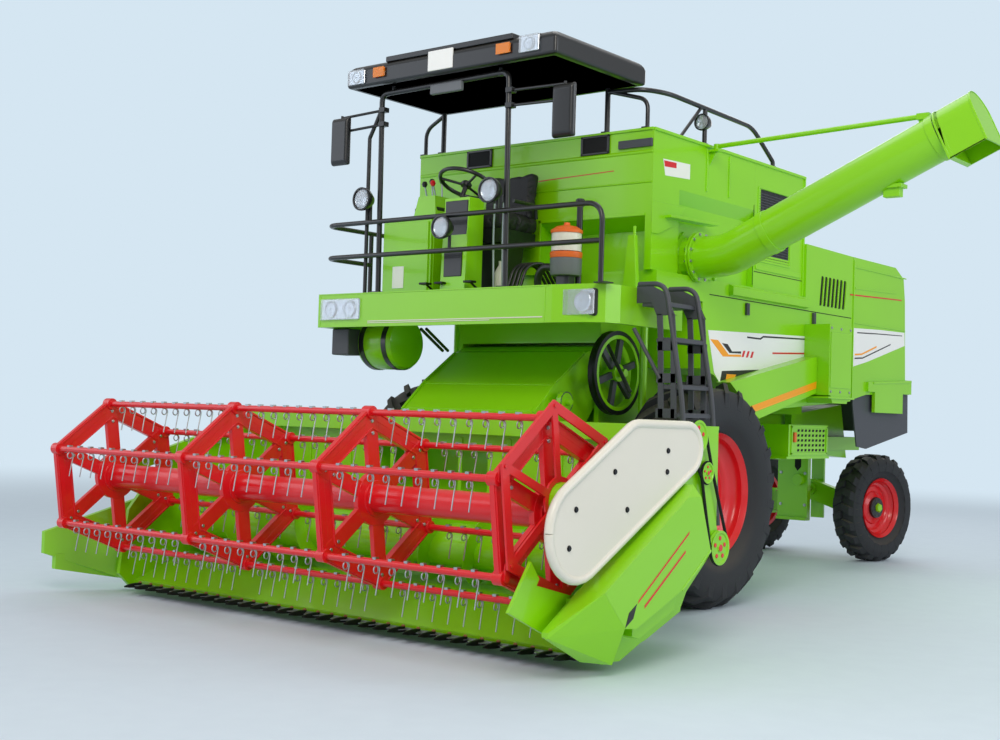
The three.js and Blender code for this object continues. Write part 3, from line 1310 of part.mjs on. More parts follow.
/** Spout: an arched box that goes on from the tube in line with it, open underneath. */
function dischargeSpout() {
  const { elbowX, endX, z, endZ, y, radius, sides } = DISCHARGE;
  const length = Math.hypot(endX - elbowX, endZ - z);
  const along = [(endX - elbowX) / length, (endZ - z) / length];
  const axes = [[0, 1, 0], [-along[1], 0, along[0]], [along[0], 0, along[1]]];
  const place = (reach) => [elbowX + reach * along[0], y, z + reach * along[1]];
  const { start, wall, end, low, sheet } = SPOUT;
  const arch = (width, foot, from, to) => {
    const outline = outlineRound([[0, 0, width], [-width, foot, 0], [width, foot, 0]], sides);
    return extruded(outline, [], to - from, axes, place(from));
  };
  const collar = bar(place(length - 40), place(start + wall), radius + 8, sides);
  const hood = arch(radius + sheet, -low, start, end);
  const mouth = arch(radius, -low - 50, start + wall, end - sheet);
  return join(cut(hood, mouth), collar);
}

/** Stay rod from the bracket on the tank's edge to the outer end of the tube. */
function stayRod() {
  const inner = [DISCHARGE.flangeX, SWING_HINGE.y, STAY.z];
  const outer = [STAY.outerX, DISCHARGE.y, STAY.z];
  const eye = bar([inner[0], inner[1], STAY.bracketTop + SEAT], [inner[0], inner[1], STAY.z + 16], 24);
  const pin = bar([inner[0], inner[1], 3176], [inner[0], inner[1], STAY.z], SWING_HINGE.pinRadius);
  return join(bar(inner, outer, STAY.radius, TUBE_SIDES), eye, pin);
}

// ---------------------------------------------------------------- the machine

function bodyPieces() {
  return [
    piece("chassis_frame", chassisFrame(), "green"),
    piece("front_axle", frontAxle(), "green"),
    piece("rear_axle", rearAxle(), "green"),
    piece("thresher_body", thresherBody(), "green"),
    piece("rear_hood", rearHood(), "green"),
    piece("straw_deflector", strawDeflector(), "charcoal"),
    piece("cleaning_shoe", cleaningShoe(), "green"),
    piece("grain_tank", grainTank(), "green"),
    piece("engine_cover", engineCover(), "green"),
    piece("engine_block", engineBlock(), "castIron"),
    piece("returns_elevator", returnsElevator(), "green"),
    piece("grain_elevator", grainElevator(), "green"),
    piece("battery_box", batteryBox(), "green"),
    piece("feeder_drive_pulley", feederDrive(), "green"),
  ];
}

function stationPieces() {
  const wheelPlace = [WHEEL_AT.x, WHEEL_AT.y, WHEEL_AT.z];
  return [
    piece("operator_platform", operatorPlatform(), "green"),
    piece("canopy_frame", canopyFrame(), "black"),
    piece("canopy_roof", canopyRoof(), "black"),
    piece("tank_rails", tankRails(), "black"),
    piece("seat_base", seatBase(), "black"),
    piece("seat_pads", seatPads(), "vinyl"),
    piece("steering_column", steeringColumn(), "green"),
    piece("steering_wheel", steeringWheel(), "black", wheelPlace),
    piece("control_console", controlConsole(), "green"),
    piece("air_precleaner", airPrecleaner(), "orange"),
    piece("fuel_drum", fuelDrum(), "green"),
    piece("boarding_ladder", boardingLadder(), "charcoal"),
  ];
}

function headerPieces() {
  return [
    piece("feeder_house", feederHouse(), "green"),
    piece("header_table", headerTable(), "green"),
    piece("header_auger", tableAuger(), "green", [0, SCREW.y, SCREW.z]),
    piece("cutter_bar", cutterBar(), "steel"),
    piece("divider_left", leftDivider(), "green"),
    piece("divider_right", rightDivider(), "green"),
    piece("belt_guard", beltGuard(), "white"),
    piece("side_cover", sideCover(), "green"),
    piece("header_drive", headerDrive(), "green"),
    piece("lift_barrels", liftBarrels(), "green"),
    piece("lift_rods", liftRods(), "steel"),
  ];
}

function reelPieces() {
  const bars = [...Array(BAR_COUNT).keys()].map((i) => {
    const [y, z] = barCentre(i);
    return piece(`tine_bar_${i + 1}`, tineBar(), "red", [0, REEL.y + y, REEL.z + z]);
  });
  return [
    piece("reel_arm_left", leftReelArm(), "green"),
    piece("reel_arm_right", rightReelArm(), "green"),
    piece("reel_rotor", reelRotor(), "red", [0, REEL.y, REEL.z]),
    piece("feathering_frame", featheringFrame(), "red", [0, REEL.y, REEL.z + CRANK.offset]),
    ...bars,
  ];
}

function dischargePieces() {
  return [
    piece("discharge_tube", dischargeTube(), "green"),
    piece("stay_rod", stayRod(), "green"),
  ];
}

const machine = assembly([
  bodyPieces(),
  stationPieces(),
  frontWheel("left", 1),
  frontWheel("right", -1),
  rearCorner("left", 1),
  rearCorner("right", -1),
  piece("tie_rod", tieRod(), "black"),
  headerPieces(),
  reelPieces(),
  dischargePieces(),
]);

const combine = new THREE.Group();
combine.add(machine);
combine.updateMatrixWorld(true);
const bounds = new THREE.Box3().setFromObject(machine, true);
const middle = bounds.getCenter(new THREE.Vector3());
machine.position.set(-middle.x, -middle.y, -bounds.min.z);

export default combine;
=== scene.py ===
"""Looks of a combine harvester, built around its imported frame.

Places are given in metres in the machine's own axes: the origin stands on the ground under the
middle of the front axle, +X is the machine's left, -Y is ahead and +Z is up.
"""

import logging
import math
from dataclasses import dataclass, field
from enum import Enum

import bmesh
import bpy
from mathutils import Matrix, Vector


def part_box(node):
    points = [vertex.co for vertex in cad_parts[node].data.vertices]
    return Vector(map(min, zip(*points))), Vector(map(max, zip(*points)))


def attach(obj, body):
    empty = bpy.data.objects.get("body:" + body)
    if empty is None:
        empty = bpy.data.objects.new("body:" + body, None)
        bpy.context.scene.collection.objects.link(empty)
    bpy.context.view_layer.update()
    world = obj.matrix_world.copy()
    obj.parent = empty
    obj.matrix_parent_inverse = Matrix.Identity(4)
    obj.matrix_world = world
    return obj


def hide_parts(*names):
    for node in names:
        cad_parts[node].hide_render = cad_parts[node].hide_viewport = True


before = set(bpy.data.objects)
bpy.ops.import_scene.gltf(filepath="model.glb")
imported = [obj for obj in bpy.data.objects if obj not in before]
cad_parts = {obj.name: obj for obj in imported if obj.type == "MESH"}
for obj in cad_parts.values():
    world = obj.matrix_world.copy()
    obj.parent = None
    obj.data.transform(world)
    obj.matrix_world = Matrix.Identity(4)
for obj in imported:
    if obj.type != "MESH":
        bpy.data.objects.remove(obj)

log = logging.getLogger("combine")
Pair = tuple[float, float]
Place = tuple[float, float, float]


# ------------ axes and records


def machine_origin() -> Vector:
    """Find the machine's own origin in the row frame.

    Returns:
        The point on the ground under the middle of the front axle.
    """
    low_left, high_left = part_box("front_tyre_left")
    low_right, high_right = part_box("front_tyre_right")
    middle = (low_left + high_left + low_right + high_right) / 4
    return Vector((middle.x, middle.y, 0.0))


ORIGIN = machine_origin()


def at(place: Place | Vector) -> Vector:
    """Turn a place in the machine's axes into the row frame.

    Args:
        place: metres in the machine's axes.

    Returns:
        The same point in the row frame.
    """
    return ORIGIN + Vector(place)


def linear(hex_colour: str) -> tuple[float, float, float, float]:
    """Convert an sRGB hex colour to the linear values that Cycles uses.

    Args:
        hex_colour: six hex digits.

    Returns:
        Linear red, green and blue with an alpha of one.
    """
    parts = [int(hex_colour[i : i + 2], 16) / 255 for i in (0, 2, 4)]
    light = [c / 12.92 if c <= 0.04045 else ((c + 0.055) / 1.055) ** 2.4 for c in parts]
    return (light[0], light[1], light[2], 1.0)


def add_node(tree: bpy.types.NodeTree, kind: str, settings: dict | None = None, **inputs) -> bpy.types.Node:
    """Add a node with its settings, and a value or a link for each named input.

    Args:
        tree: the node tree.
        kind: the node's type.
        settings: attributes of the node itself.
        inputs: input names, with spaces as underscores, or i0, i1 for inputs by number.

    Returns:
        The new node.
    """
    made = tree.nodes.new(kind)
    for name, value in (settings or {}).items():
        setattr(made, name, value)
    for name, value in inputs.items():
        numbered = name[0] == "i" and name[1:].isdigit()
        socket = made.inputs[int(name[1:]) if numbered else name.replace("_", " ")]
        if isinstance(value, bpy.types.NodeSocket):
            tree.links.new(value, socket)
        else:
            socket.default_value = value
    return made


# ------------ finishes


class Weave(Enum):
    """The fine structure of a surface."""

    SPRAYED = "sprayed"
    MOULDED = "moulded"
    GRAINED = "grained"
    BRUSHED = "brushed"


@dataclass(frozen=True)
class Finish:
    """A real material and how it was made.

    Attributes:
        name: the common name.
        slot: the record's material slot that it belongs to; not used.
        colour: sRGB hex colour.
        roughness: of the clean surface.
        metallic: one for bare metal.
        coat: share of clear lacquer over the colour.
        weave: fine structure.
        grain: size of that structure in metres.
        relief: its depth in metres.
        edge: radius to which pressed edges are rounded, in metres.
        worn: colour that shows through on worn edges, or nothing.
        dust: share of field dust on surfaces that face up.
        clear: share of light that passes through.
    """

    name: str
    slot: str
    colour: str
    roughness: float
    metallic: float = 0.0
    coat: float = 0.0
    weave: Weave = Weave.SPRAYED
    grain: float = 0.004
    relief: float = 0.00006
    edge: float = 0.003
    worn: str = ""
    dust: float = 0.1
    clear: float = 0.0

    def material(self) -> bpy.types.Material:
        """Build the material once, and hand back the same one after that."""
        known = bpy.data.materials.get(self.name)
        return known or self._build()

    def _build(self) -> bpy.types.Material:
        """Build the node tree of this finish.

        Returns:
            The new material.
        """
        made = bpy.data.materials.new(self.name)
        made.use_nodes = True
        tree = made.node_tree
        tree.nodes.clear()
        place = add_node(tree, "ShaderNodeTexCoord").outputs["Object"]
        soft = add_node(tree, "ShaderNodeBevel", {"samples": 4}, Radius=self.edge).outputs["Normal"]
        geometry = add_node(tree, "ShaderNodeNewGeometry")
        colour = self._colour(tree, place, geometry, soft)
        fine = self._fine(tree, place)
        rough = add_node(
            tree, "ShaderNodeMapRange", None,
            Value=fine, To_Min=self.roughness * 0.85, To_Max=min(1.0, self.roughness * 1.2),
        ).outputs["Result"]
        bump = add_node(
            tree, "ShaderNodeBump", None, Strength=1.0, Distance=self.relief, Height=fine, Normal=soft
        ).outputs["Normal"]
        shader = add_node(
            tree, "ShaderNodeBsdfPrincipled", None,
            Base_Color=colour, Roughness=rough, Metallic=self.metallic, Normal=bump,
            Coat_Weight=self.coat, Coat_Roughness=0.06, Transmission_Weight=self.clear,
        )
        out = add_node(tree, "ShaderNodeOutputMaterial")
        tree.links.new(shader.outputs["BSDF"], out.inputs["Surface"])
        return made

    def _fine(self, tree: bpy.types.NodeTree, place: bpy.types.NodeSocket) -> bpy.types.NodeSocket:
        """Height of the fine structure, from zero to one."""
        stretch = (1.0, 1.0, 18.0) if self.weave is Weave.BRUSHED else (1.0, 1.0, 1.0)
        spread = add_node(tree, "ShaderNodeMapping", None, Vector=place, Scale=stretch).outputs["Vector"]
        if self.weave is Weave.GRAINED:
            return add_node(
                tree, "ShaderNodeTexVoronoi", None, Vector=spread, Scale=1 / self.grain
            ).outputs["Distance"]
        detail = 2.0 if self.weave is Weave.SPRAYED else 6.0
        return add_node(
            tree, "ShaderNodeTexNoise", None, Vector=spread, Scale=1 / self.grain, Detail=detail
        ).outputs["Fac"]

    def _colour(self, tree: bpy.types.NodeTree, place: bpy.types.NodeSocket, geometry: bpy.types.Node,
                soft: bpy.types.NodeSocket) -> bpy.types.NodeSocket:
        """Base colour with patches of tone, dust on top faces and wear on edges."""
        base = linear(self.colour)
        patches = add_node(tree, "ShaderNodeTexNoise", None, Vector=place, Scale=1.7,
                           Detail=5.0).outputs["Fac"]
        tone = add_node(tree, "ShaderNodeMapRange", None, Value=patches, To_Min=0.94,
                        To_Max=1.05).outputs["Result"]
        toned = add_node(
            tree, "ShaderNodeMix", {"data_type": "RGBA", "blend_type": "MULTIPLY"}, i0=1.0, i6=base, i7=tone
        ).outputs[2]
        if self.dust > 0:
            up = add_node(tree, "ShaderNodeSeparateXYZ", None, Vector=geometry.outputs["Normal"]).outputs["Z"]
            lying = add_node(
                tree, "ShaderNodeMapRange", None, Value=up, From_Min=0.2, From_Max=1.0, To_Max=self.dust
            ).outputs["Result"]
            amount = add_node(tree, "ShaderNodeMath", {"operation": "MULTIPLY"}, i0=lying,
                              i1=patches).outputs[0]
            toned = add_node(
                tree, "ShaderNodeMix", {"data_type": "RGBA"}, i0=amount, i6=toned, i7=linear("A89878")
            ).outputs[2]
        if not self.worn:
            return toned
        flat = geometry.outputs["True Normal"]
        turn = add_node(tree, "ShaderNodeVectorMath", {"operation": "DOT_PRODUCT"}, i0=soft,
                        i1=flat).outputs["Value"]
        edge = add_node(
            tree, "ShaderNodeMapRange", None, Value=turn, From_Min=0.97, From_Max=0.8, To_Max=1.0
        ).outputs["Result"]
        chips = add_node(tree, "ShaderNodeTexNoise", None, Vector=place, Scale=55.0,
                         Detail=4.0).outputs["Fac"]
        chosen = add_node(
            tree, "ShaderNodeMapRange", None, Value=chips, From_Min=0.6, From_Max=0.68, To_Max=0.55
        ).outputs["Result"]
        wear = add_node(tree, "ShaderNodeMath", {"operation": "MULTIPLY"}, i0=edge, i1=chosen).outputs[0]
        return add_node(
            tree, "ShaderNodeMix", {"data_type": "RGBA"}, i0=wear, i6=toned, i7=linear(self.worn)
        ).outputs[2]


# Clear-coated enamel over pressed sheet: bright, with soft highlights and chips on edges.
GREEN = Finish("lime_enamel", "green", "8CD600", 0.3, coat=0.35, worn="5E8A1A")
# The same enamel on the reel and rims.
RED = Finish("red_enamel", "red", "E1101B", 0.3, coat=0.35, worn="7A1418")
# Glossy enamel on bent tube.
BLACK = Finish("black_enamel", "black", "17191B", 0.34, coat=0.3, worn="55585A")
# Flatter paint, greyer where it is worn.
CHARCOAL = Finish("charcoal_paint", "charcoal", "45474D", 0.5, worn="7C7F84")
# Gelcoat over moulded glass fibre: warm and even.
WHITE = Finish("white_gelcoat", "white", "E6E1D3", 0.38, coat=0.2, grain=0.006)
# Moulded rubber: matt, dusty in the tread.
RUBBER = Finish(
    "tyre_rubber", "tyre", "2B2D30", 0.78, weave=Weave.MOULDED, grain=0.003, relief=0.0004, edge=0.004,
    dust=0.25
)
# Bright zinc with a fine brushed grain.
STEEL = Finish("zinc_steel", "steel", "B9BDC2", 0.34, metallic=1.0, weave=Weave.BRUSHED, grain=0.002,
               edge=0.001, dust=0)
# Oiled steel, dark and half glossy.
DARK_STEEL = Finish("oiled_steel", "steel", "3A3B3E", 0.42, metallic=1.0, weave=Weave.BRUSHED, grain=0.002,
                    edge=0.001)
# Lacquered knobs, brown and smooth.
BRONZE = Finish("lacquered_knob", "steel", "9A6A3C", 0.4, edge=0.001, dust=0)
# Rough dark casting.
IRON = Finish("cast_iron", "castiron", "4C5250", 0.7, metallic=1.0, weave=Weave.MOULDED, grain=0.003,
              relief=0.0003)
# Grained vinyl over foam, soft highlights.
VINYL = Finish("vinyl_over_foam", "vinyl", "1C1D1F", 0.55, weave=Weave.GRAINED, grain=0.0022, relief=0.0004,
               dust=0.04)
# Moulded plastic with a faint texture.
ORANGE = Finish("orange_moulding", "orange", "EE6A1A", 0.42, weave=Weave.MOULDED, grain=0.002, dust=0)
GREY = Finish("grey_moulding", "black", "6B6E72", 0.5, weave=Weave.MOULDED, grain=0.002, dust=0)
# Flat vinyl film, almost without relief.
PANEL_WHITE = Finish("white_vinyl_film", "white", "F4F3EE", 0.3, edge=0.0004, relief=0.00002, dust=0)
FILM_BLACK = Finish("black_vinyl_film", "black", "141414", 0.32, edge=0.0004, relief=0.00002, dust=0)
FILM_ORANGE = Finish("orange_vinyl_film", "orange", "FFA300", 0.32, edge=0.0004, relief=0.00002, dust=0)
FILM_RED = Finish("red_vinyl_film", "red", "DC1420", 0.32, edge=0.0004, relief=0.00002, dust=0)
# Near-black painted shade: sheets put behind mesh and in slots, gaps, holes and windows where there is only
# shade. The same black also colours the dark seams and the belts.
SHADOW = Finish("painted_shade_seams_and_belts", "black", "0B0C0D", 0.8, edge=0.0005, dust=0)
# Clear moulded lens.
LENS = Finish("clear_lens", "steel", "F2F6FA", 0.08, clear=0.75, edge=0.001, relief=0.00002, dust=0)
AMBER = Finish("amber_lens", "orange", "FF9310", 0.12, clear=0.35, edge=0.001, relief=0.00002, dust=0)
# Mirror-bright reflector.
CHROME = Finish("chromed_reflector", "steel", "D9DCE0", 0.08, metallic=1.0, edge=0.001, relief=0.00001,
                dust=0)
GLASS = Finish("mirror_glass", "steel", "C4CCD2", 0.03, metallic=1.0, edge=0.0005, relief=0.00001, dust=0)


# ------------ solids


class Axis(Enum):
    """The way an outline is swept: its (u, v) are the other two axes in turn."""

    X = 0
    Y = 1
    Z = 2

    def place(self, u: float, v: float, along: float) -> Vector:
        """The point of an outline (u, v) at a distance along this axis."""
        if self is Axis.X:
            return Vector((along, u, v))
        if self is Axis.Y:
            return Vector((u, along, v))
        return Vector((u, v, along))


def circle(radius: float, sides: int, turn: float = 0.0) -> list[Pair]:
    """Corners of a regular polygon round the origin.

    Args:
        radius: metres.
        sides: number of corners.
        turn: angle of the first corner, radians.

    Returns:
        The corners in order.
    """
    step = 2 * math.pi / sides
    return [(radius * math.cos(turn + i * step), radius * math.sin(turn + i * step)) for i in range(sides)]


def rounded_path(corners: list[Place], bend: float, steps: int = 6) -> list[Vector]:
    """A path through corners, each rounded with a smooth bend.

    Args:
        corners: the points that the straight parts aim at.
        bend: how far before and after a corner the bend reaches.
        steps: segments in a bend.

    Returns:
        Points of the path.
    """
    points = [Vector(c) for c in corners]
    path = [points[0]]
    for before, here, after in zip(points, points[1:], points[2:]):
        back, on = before - here, after - here
        reach = min(bend, back.length * 0.48, on.length * 0.48)
        start, end = here + back.normalized() * reach, here + on.normalized() * reach
        for i in range(steps + 1):
            t = i / steps
            path.append(start.lerp(here, t).lerp(here.lerp(end, t), t))
    path.append(points[-1])
    return path


class Solid:
    """A mesh being built in the machine's axes. Each method adds one closed shape and returns the solid."""

    def __init__(self) -> None:
        """Start with an empty mesh."""
        self.mesh = bmesh.new()

    def loft(self, rings: list[list[Vector]], closed: bool = False) -> "Solid":
        """Skin rings of equally many points, capped at both ends unless the row of rings closes."""
        rows = [[self.mesh.verts.new(p) for p in ring] for ring in rings]
        count = len(rows[0])
        pairs = list(zip(rows, rows[1:])) + ([(rows[-1], rows[0])] if closed else [])
        for a, b in pairs:
            for i in range(count):
                j = (i + 1) % count
                self.mesh.faces.new((a[i], a[j], b[j], b[i]))
        if not closed:
            self.mesh.faces.new(rows[0][::-1])
            self.mesh.faces.new(rows[-1])
        return self

    def box(self, x: Pair, y: Pair, z: Pair) -> "Solid":
        """An upright box."""
        return self.prism([(x[0], y[0]), (x[1], y[0]), (x[1], y[1]), (x[0], y[1])], Axis.Z, z)

    def prism(self, outline: list[Pair], axis: Axis, span: Pair) -> "Solid":
        """An outline swept along an axis."""
        return self.loft([[axis.place(u, v, s) for u, v in outline] for s in span])

    def taper(self, low: list[Place], high: list[Place]) -> "Solid":
        """A block between two outlines of equally many corners."""
        return self.loft([[Vector(p) for p in low], [Vector(p) for p in high]])

    def turned(self, profile: list[Pair], centre: Place, axis: Vector, sides: int = 40) -> "Solid":
        """A closed profile of (radius, along) turned about an axis through a centre."""
        turn = Vector((0, 0, 1)).rotation_difference(axis.normalized())
        rings = []
        for i in range(sides):
            a = 2 * math.pi * i / sides
            ring = [Vector((max(r, 1e-5) * math.cos(a), max(r, 1e-5) * math.sin(a), s)) for r, s in profile]
            rings.append([Vector(centre) + turn @ p for p in ring])
        return self.loft(rings, closed=True)

    def rod(self, start: Place, end: Place, radius: float, sides: int = 16) -> "Solid":
        """A round bar with flat ends."""
        return self.tube([Vector(start), Vector(end)], radius, sides)

    def tube(self, path: list[Vector], radius: float, sides: int = 12) -> "Solid":
        """A round bar along a path, with its section kept square to the path."""
        points = [Vector(p) for p in path]
        points = [p for i, p in enumerate(points) if i == 0 or (p - points[i - 1]).length > 1e-5]
        steps = [(b - a).normalized() for a, b in zip(points, points[1:])]
        tangents = [steps[0], *[(a + b).normalized() for a, b in zip(steps, steps[1:])], steps[-1]]
        side = tangents[0].orthogonal().normalized()
        rings = []
        for point, tangent in zip(points, tangents):
            side = (side - tangent * side.dot(tangent)).normalized()
            other = tangent.cross(side)
            rings.append([point + side * u + other * v for u, v in circle(radius, sides)])
        return self.loft(rings)

    def strip(self, a: Pair, b: Pair, width: float, span: Pair) -> "Solid":
        """A flat strip between two points of the (y, z) plane, over a span of x."""
        way = Vector((b[0] - a[0], b[1] - a[1])).normalized() * (width / 2)
        outline = [(a[0] + way.y, a[1] - way.x), (b[0] + way.y, b[1] - way.x),
                   (b[0] - way.y, b[1] + way.x), (a[0] - way.y, a[1] + way.x)]
        return self.prism(outline, Axis.X, span)

    def hexes(self, places: list[Place], axis: Axis, size: float, height: float) -> "Solid":
        """Hexagon bolt heads on washers, standing along an axis."""
        for place in places:
            u, v = [c for i, c in enumerate(place) if i != axis.value]
            low = place[axis.value]
            for radius, sides, top in ((size * 1.25, 14, height * 0.35), (size, 6, height)):
                outline = [(u + a, v + b) for a, b in circle(radius, sides)]
                self.prism(outline, axis, (low, low + top))
        return self

    def piece(self, name: str, finish: Finish, body: str, bevel: float = 0.0,
              replaces: tuple[str, ...] = ()) -> bpy.types.Object:
        """Close the mesh, place it in the row frame and let it ride on its body.

        Args:
            name: the object's name.
            finish: its material.
            body: the CAD body it moves with.
            bevel: width to which its edges are rounded, metres.
            replaces: CAD nodes it stands for.

        Returns:
            The finished object.
        """
        bmesh.ops.remove_doubles(self.mesh, verts=self.mesh.verts, dist=2e-5)
        bmesh.ops.dissolve_degenerate(self.mesh, edges=self.mesh.edges, dist=1e-5)
        bmesh.ops.recalc_face_normals(self.mesh, faces=self.mesh.faces)
        bmesh.ops.translate(self.mesh, verts=self.mesh.verts, vec=ORIGIN)
        data = bpy.data.meshes.new(name)
        self.mesh.to_mesh(data)
        self.mesh.free()
        data.shade_smooth()
        data.set_sharp_from_angle(angle=math.radians(38))
        data.materials.append(finish.material())
        made = bpy.data.objects.new(name, data)
        bpy.context.scene.collection.objects.link(made)
        if bevel:
            rounding = made.modifiers.new("rounding", "BEVEL")
            rounding.width, rounding.segments, rounding.limit_method = bevel, 2, "ANGLE"
            rounding.angle_limit = math.radians(38)
            rounding.harden_normals = True
        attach(made, body)
        if replaces:
            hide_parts(*replaces)
        return made


def hull(discs: list[tuple[float, float, float]], sides: int = 40) -> list[Pair]:
    """The tight outline round several discs of (u, v, radius)."""
    points = sorted({(u + a, v + b) for u, v, r in discs for a, b in circle(r, sides)})

    def half(order: list[Pair]) -> list[Pair]:
        """One side of the outline, from points in order."""
        kept: list[Pair] = []
        for p in order:
            while len(kept) > 1 and _left(kept[-2], kept[-1], p) <= 1e-9:
                kept.pop()
            kept.append(p)
        return kept[:-1]

    return half(points) + half(points[::-1])


def _left(a: Pair, b: Pair, c: Pair) -> float:
    """Positive where a, b, c turn to the left."""
    return (b[0] - a[0]) * (c[1] - a[1]) - (b[1] - a[1]) * (c[0] - a[0])


# ------------ wheels


@dataclass
class Wheel:
    """A wheel with its tyre, lugs, dished rim and hub.

    Attributes:
        name: front_left, front_right, rear_left or rear_right.
        centre: middle of the wheel.
        side: +1 on the machine's left.
        turn: steering angle about the vertical, degrees.
        radius, width, rim: outside radius, width over the tyre, and rim radius.
        lugs: lugs on each half of the tread.
        lug_height, lug_width: of one lug.
        sweep: how far a lug runs round the tyre from the middle to the shoulder, metres.
    """

    name: str
    centre: Place
    side: int
    turn: float
    radius: float
    width: float
    rim: float
    lugs: int
    lug_height: float
    lug_width: float
    sweep: float
    dark_hub: bool = False

    @property
    def _axle(self) -> Vector:
        """The axle's direction, pointing out of the machine."""
        a = math.radians(self.turn)
        return Vector((math.cos(a), math.sin(a), 0)) * self.side

    def build(self) -> None:
        """Build the tyre and the rim, in place of the plain ones."""
        end, hand = self.name.split("_")
        body = f"{end}_wheel_{hand}"
        self._tyre().piece(f"tyre_{self.name}", RUBBER, body, replaces=(f"{end}_tyre_{hand}",))
        self._rim().piece(f"rim_{self.name}", RED, body, bevel=0.002, replaces=(f"{end}_rim_{hand}",))
        self._nuts().piece(f"wheel_nuts_{self.name}", BLACK if self.dark_hub else STEEL, body)
        cap = Solid().turned(self._cap(), self.centre, self._axle, 6 if self.dark_hub else 24)
        cap.piece(f"hub_cap_{self.name}", GREEN if self.dark_hub else RED, body, bevel=0.002)

    def _tyre(self) -> Solid:
        """Turn the carcass and set the lugs on it.

        Returns:
            The tyre.
        """
        half, tread = self.width / 2, self.radius - self.lug_height
        wall = [(self.rim - 0.018, 0.6), (self.rim + 0.012, 0.64), (self.rim + 0.05, 0.83),
                (self.rim + 0.35 * (tread - self.rim), 0.95), (self.rim + 0.62 * (tread - self.rim), 0.97),
                (tread - 0.045, 0.93), (tread - 0.012, 0.84), (tread, 0.66), (tread + 0.004, 0.3)]
        profile = [(r, s * half) for r, s in wall] + [(r, -s * half) for r, s in reversed(wall)]
        made = Solid().turned(profile, self.centre, self._axle, 72)
        for i in range(self.lugs):
            for hand in (1, -1):
                start = 2 * math.pi * (i + (0.5 if hand < 0 else 0)) / self.lugs
                made.loft(self._lug(start, hand, tread, half))
        return made

    def _lug(self, start: float, hand: int, tread: float, half: float) -> list[list[Vector]]:
        """Sweep one lug from the tread's middle over the shoulder.

        Args:
            start: angle where the lug begins, radians.
            hand: +1 or -1, the half of the tread.
            tread: radius of the carcass under the lugs.
            half: half the tyre's width.

        Returns:
            The lug's rings of corners.
        """
        turn = Vector((0, 0, 1)).rotation_difference(self._axle)
        rings = []
        for i in range(7):
            t = i / 6
            across = hand * half * (0.02 + 0.95 * t)
            drop = 0.0 if t < 0.66 else (t - 0.66) * 0.22
            angle = start + self.sweep * t**1.25 / self.radius
            spread = self.lug_width / 2 / self.radius * (1.0 + 0.35 * t)
            low, high = tread - 0.03 - drop * 1.3, self.radius - drop
            corners = [(low, -spread * 1.25), (high, -spread), (high, spread), (low, spread * 1.25)]
            ring = [Vector((r * math.cos(angle + a), r * math.sin(angle + a), across)) for r, a in corners]
            rings.append([Vector(self.centre) + turn @ p for p in ring])
        return rings

    def _rim(self) -> Solid:
        """Turn the dished disc and the rim in one piece.

        Returns:
            The rim.
        """
        half, seat, lip = self.width / 2, self.rim - 0.02, self.rim
        edge, disc = 0.62 * half, 0.18 * half
        steps = ((0.3, 0.012), (0.36, -0.004), (0.5, -0.02), (0.53, -0.012), (0.56, -0.024), (0.7, -0.026),
                 (0.73, -0.01), (0.77, 0.0), (0.83, 0.004), (0.86, 0.016), (0.9, 0.03))
        profile = [(0.0, disc + 0.012), *((self.rim * share, disc + rise) for share, rise in steps),
                   (seat - 0.014, disc + 0.05), (seat - 0.014, edge - 0.02), (lip - 0.012, edge + 0.004),
                   (lip - 0.004, edge + 0.016), (lip, edge + 0.008), (lip - 0.004, edge - 0.004),
                   (seat, edge - 0.02),
                   (seat, -edge), (lip, -edge), (lip, -edge - 0.014), (seat - 0.014, -edge - 0.014),
                   (seat - 0.02, disc - 0.02), (self.rim * 0.6, disc - 0.045), (0.0, disc - 0.02)]
        return Solid().turned(profile, self.centre, self._axle, 64)

    def _cap(self) -> list[Pair]:
        """Profile of the hub cap as (radius, along).

        Returns:
            The profile.
        """
        half, size = self.width / 2, self.rim * (0.16 if self.dark_hub else 0.22)
        disc = 0.18 * half
        return [(0.0, disc), (size, disc), (size, disc + 0.05), (size * 0.8, disc + 0.062),
                (0.0, disc + 0.066)]

    def _nuts(self) -> Solid:
        """Set the wheel nuts in a ring, on a plate where the hub is dark.

        Returns:
            The nuts.
        """
        made, turn = Solid(), Vector((0, 0, 1)).rotation_difference(self._axle)
        disc, ring = 0.18 * self.width / 2 + 0.01, self.rim * 0.3
        if self.dark_hub:
            plate = [(self.rim * 0.12, disc), (self.rim * 0.36, disc), (self.rim * 0.34, disc + 0.02),
                     (self.rim * 0.12, disc + 0.03)]
            made.turned(plate, self.centre, self._axle, 32)
        for u, v in circle(ring * 0.86, 8, 0.2):
            low = Vector(self.centre) + turn @ Vector((u, v, disc))
            made.tube([low, low + self._axle * 0.026], 0.013, 6)
        return made


@dataclass
class Wheels:
    """The four wheels."""

    steer: float = -11.0
    half_track: float = 1.175
    kingpin: float = 0.445
    reach: float = 0.195
    wheelbase: float = 4.15

    def build(self) -> None:
        """Build all four wheels."""
        for hand, side in (("left", 1), ("right", -1)):
            Wheel(f"front_{hand}", (side * self.half_track, 0, 0.77), side, 0, 0.77, 0.45, 0.425, 22,
                  0.046, 0.046, 0.24).build()
            a = math.radians(self.steer)
            centre = (side * (self.kingpin + self.reach * math.cos(a)),
                      self.wheelbase + side * self.reach * math.sin(a), 0.5)
            Wheel(f"rear_{hand}", centre, side, self.steer, 0.5, 0.27, 0.28, 21, 0.03, 0.062, 0.06,
                  True).build()
        log.info("wheels built")


# ------------ operator's station


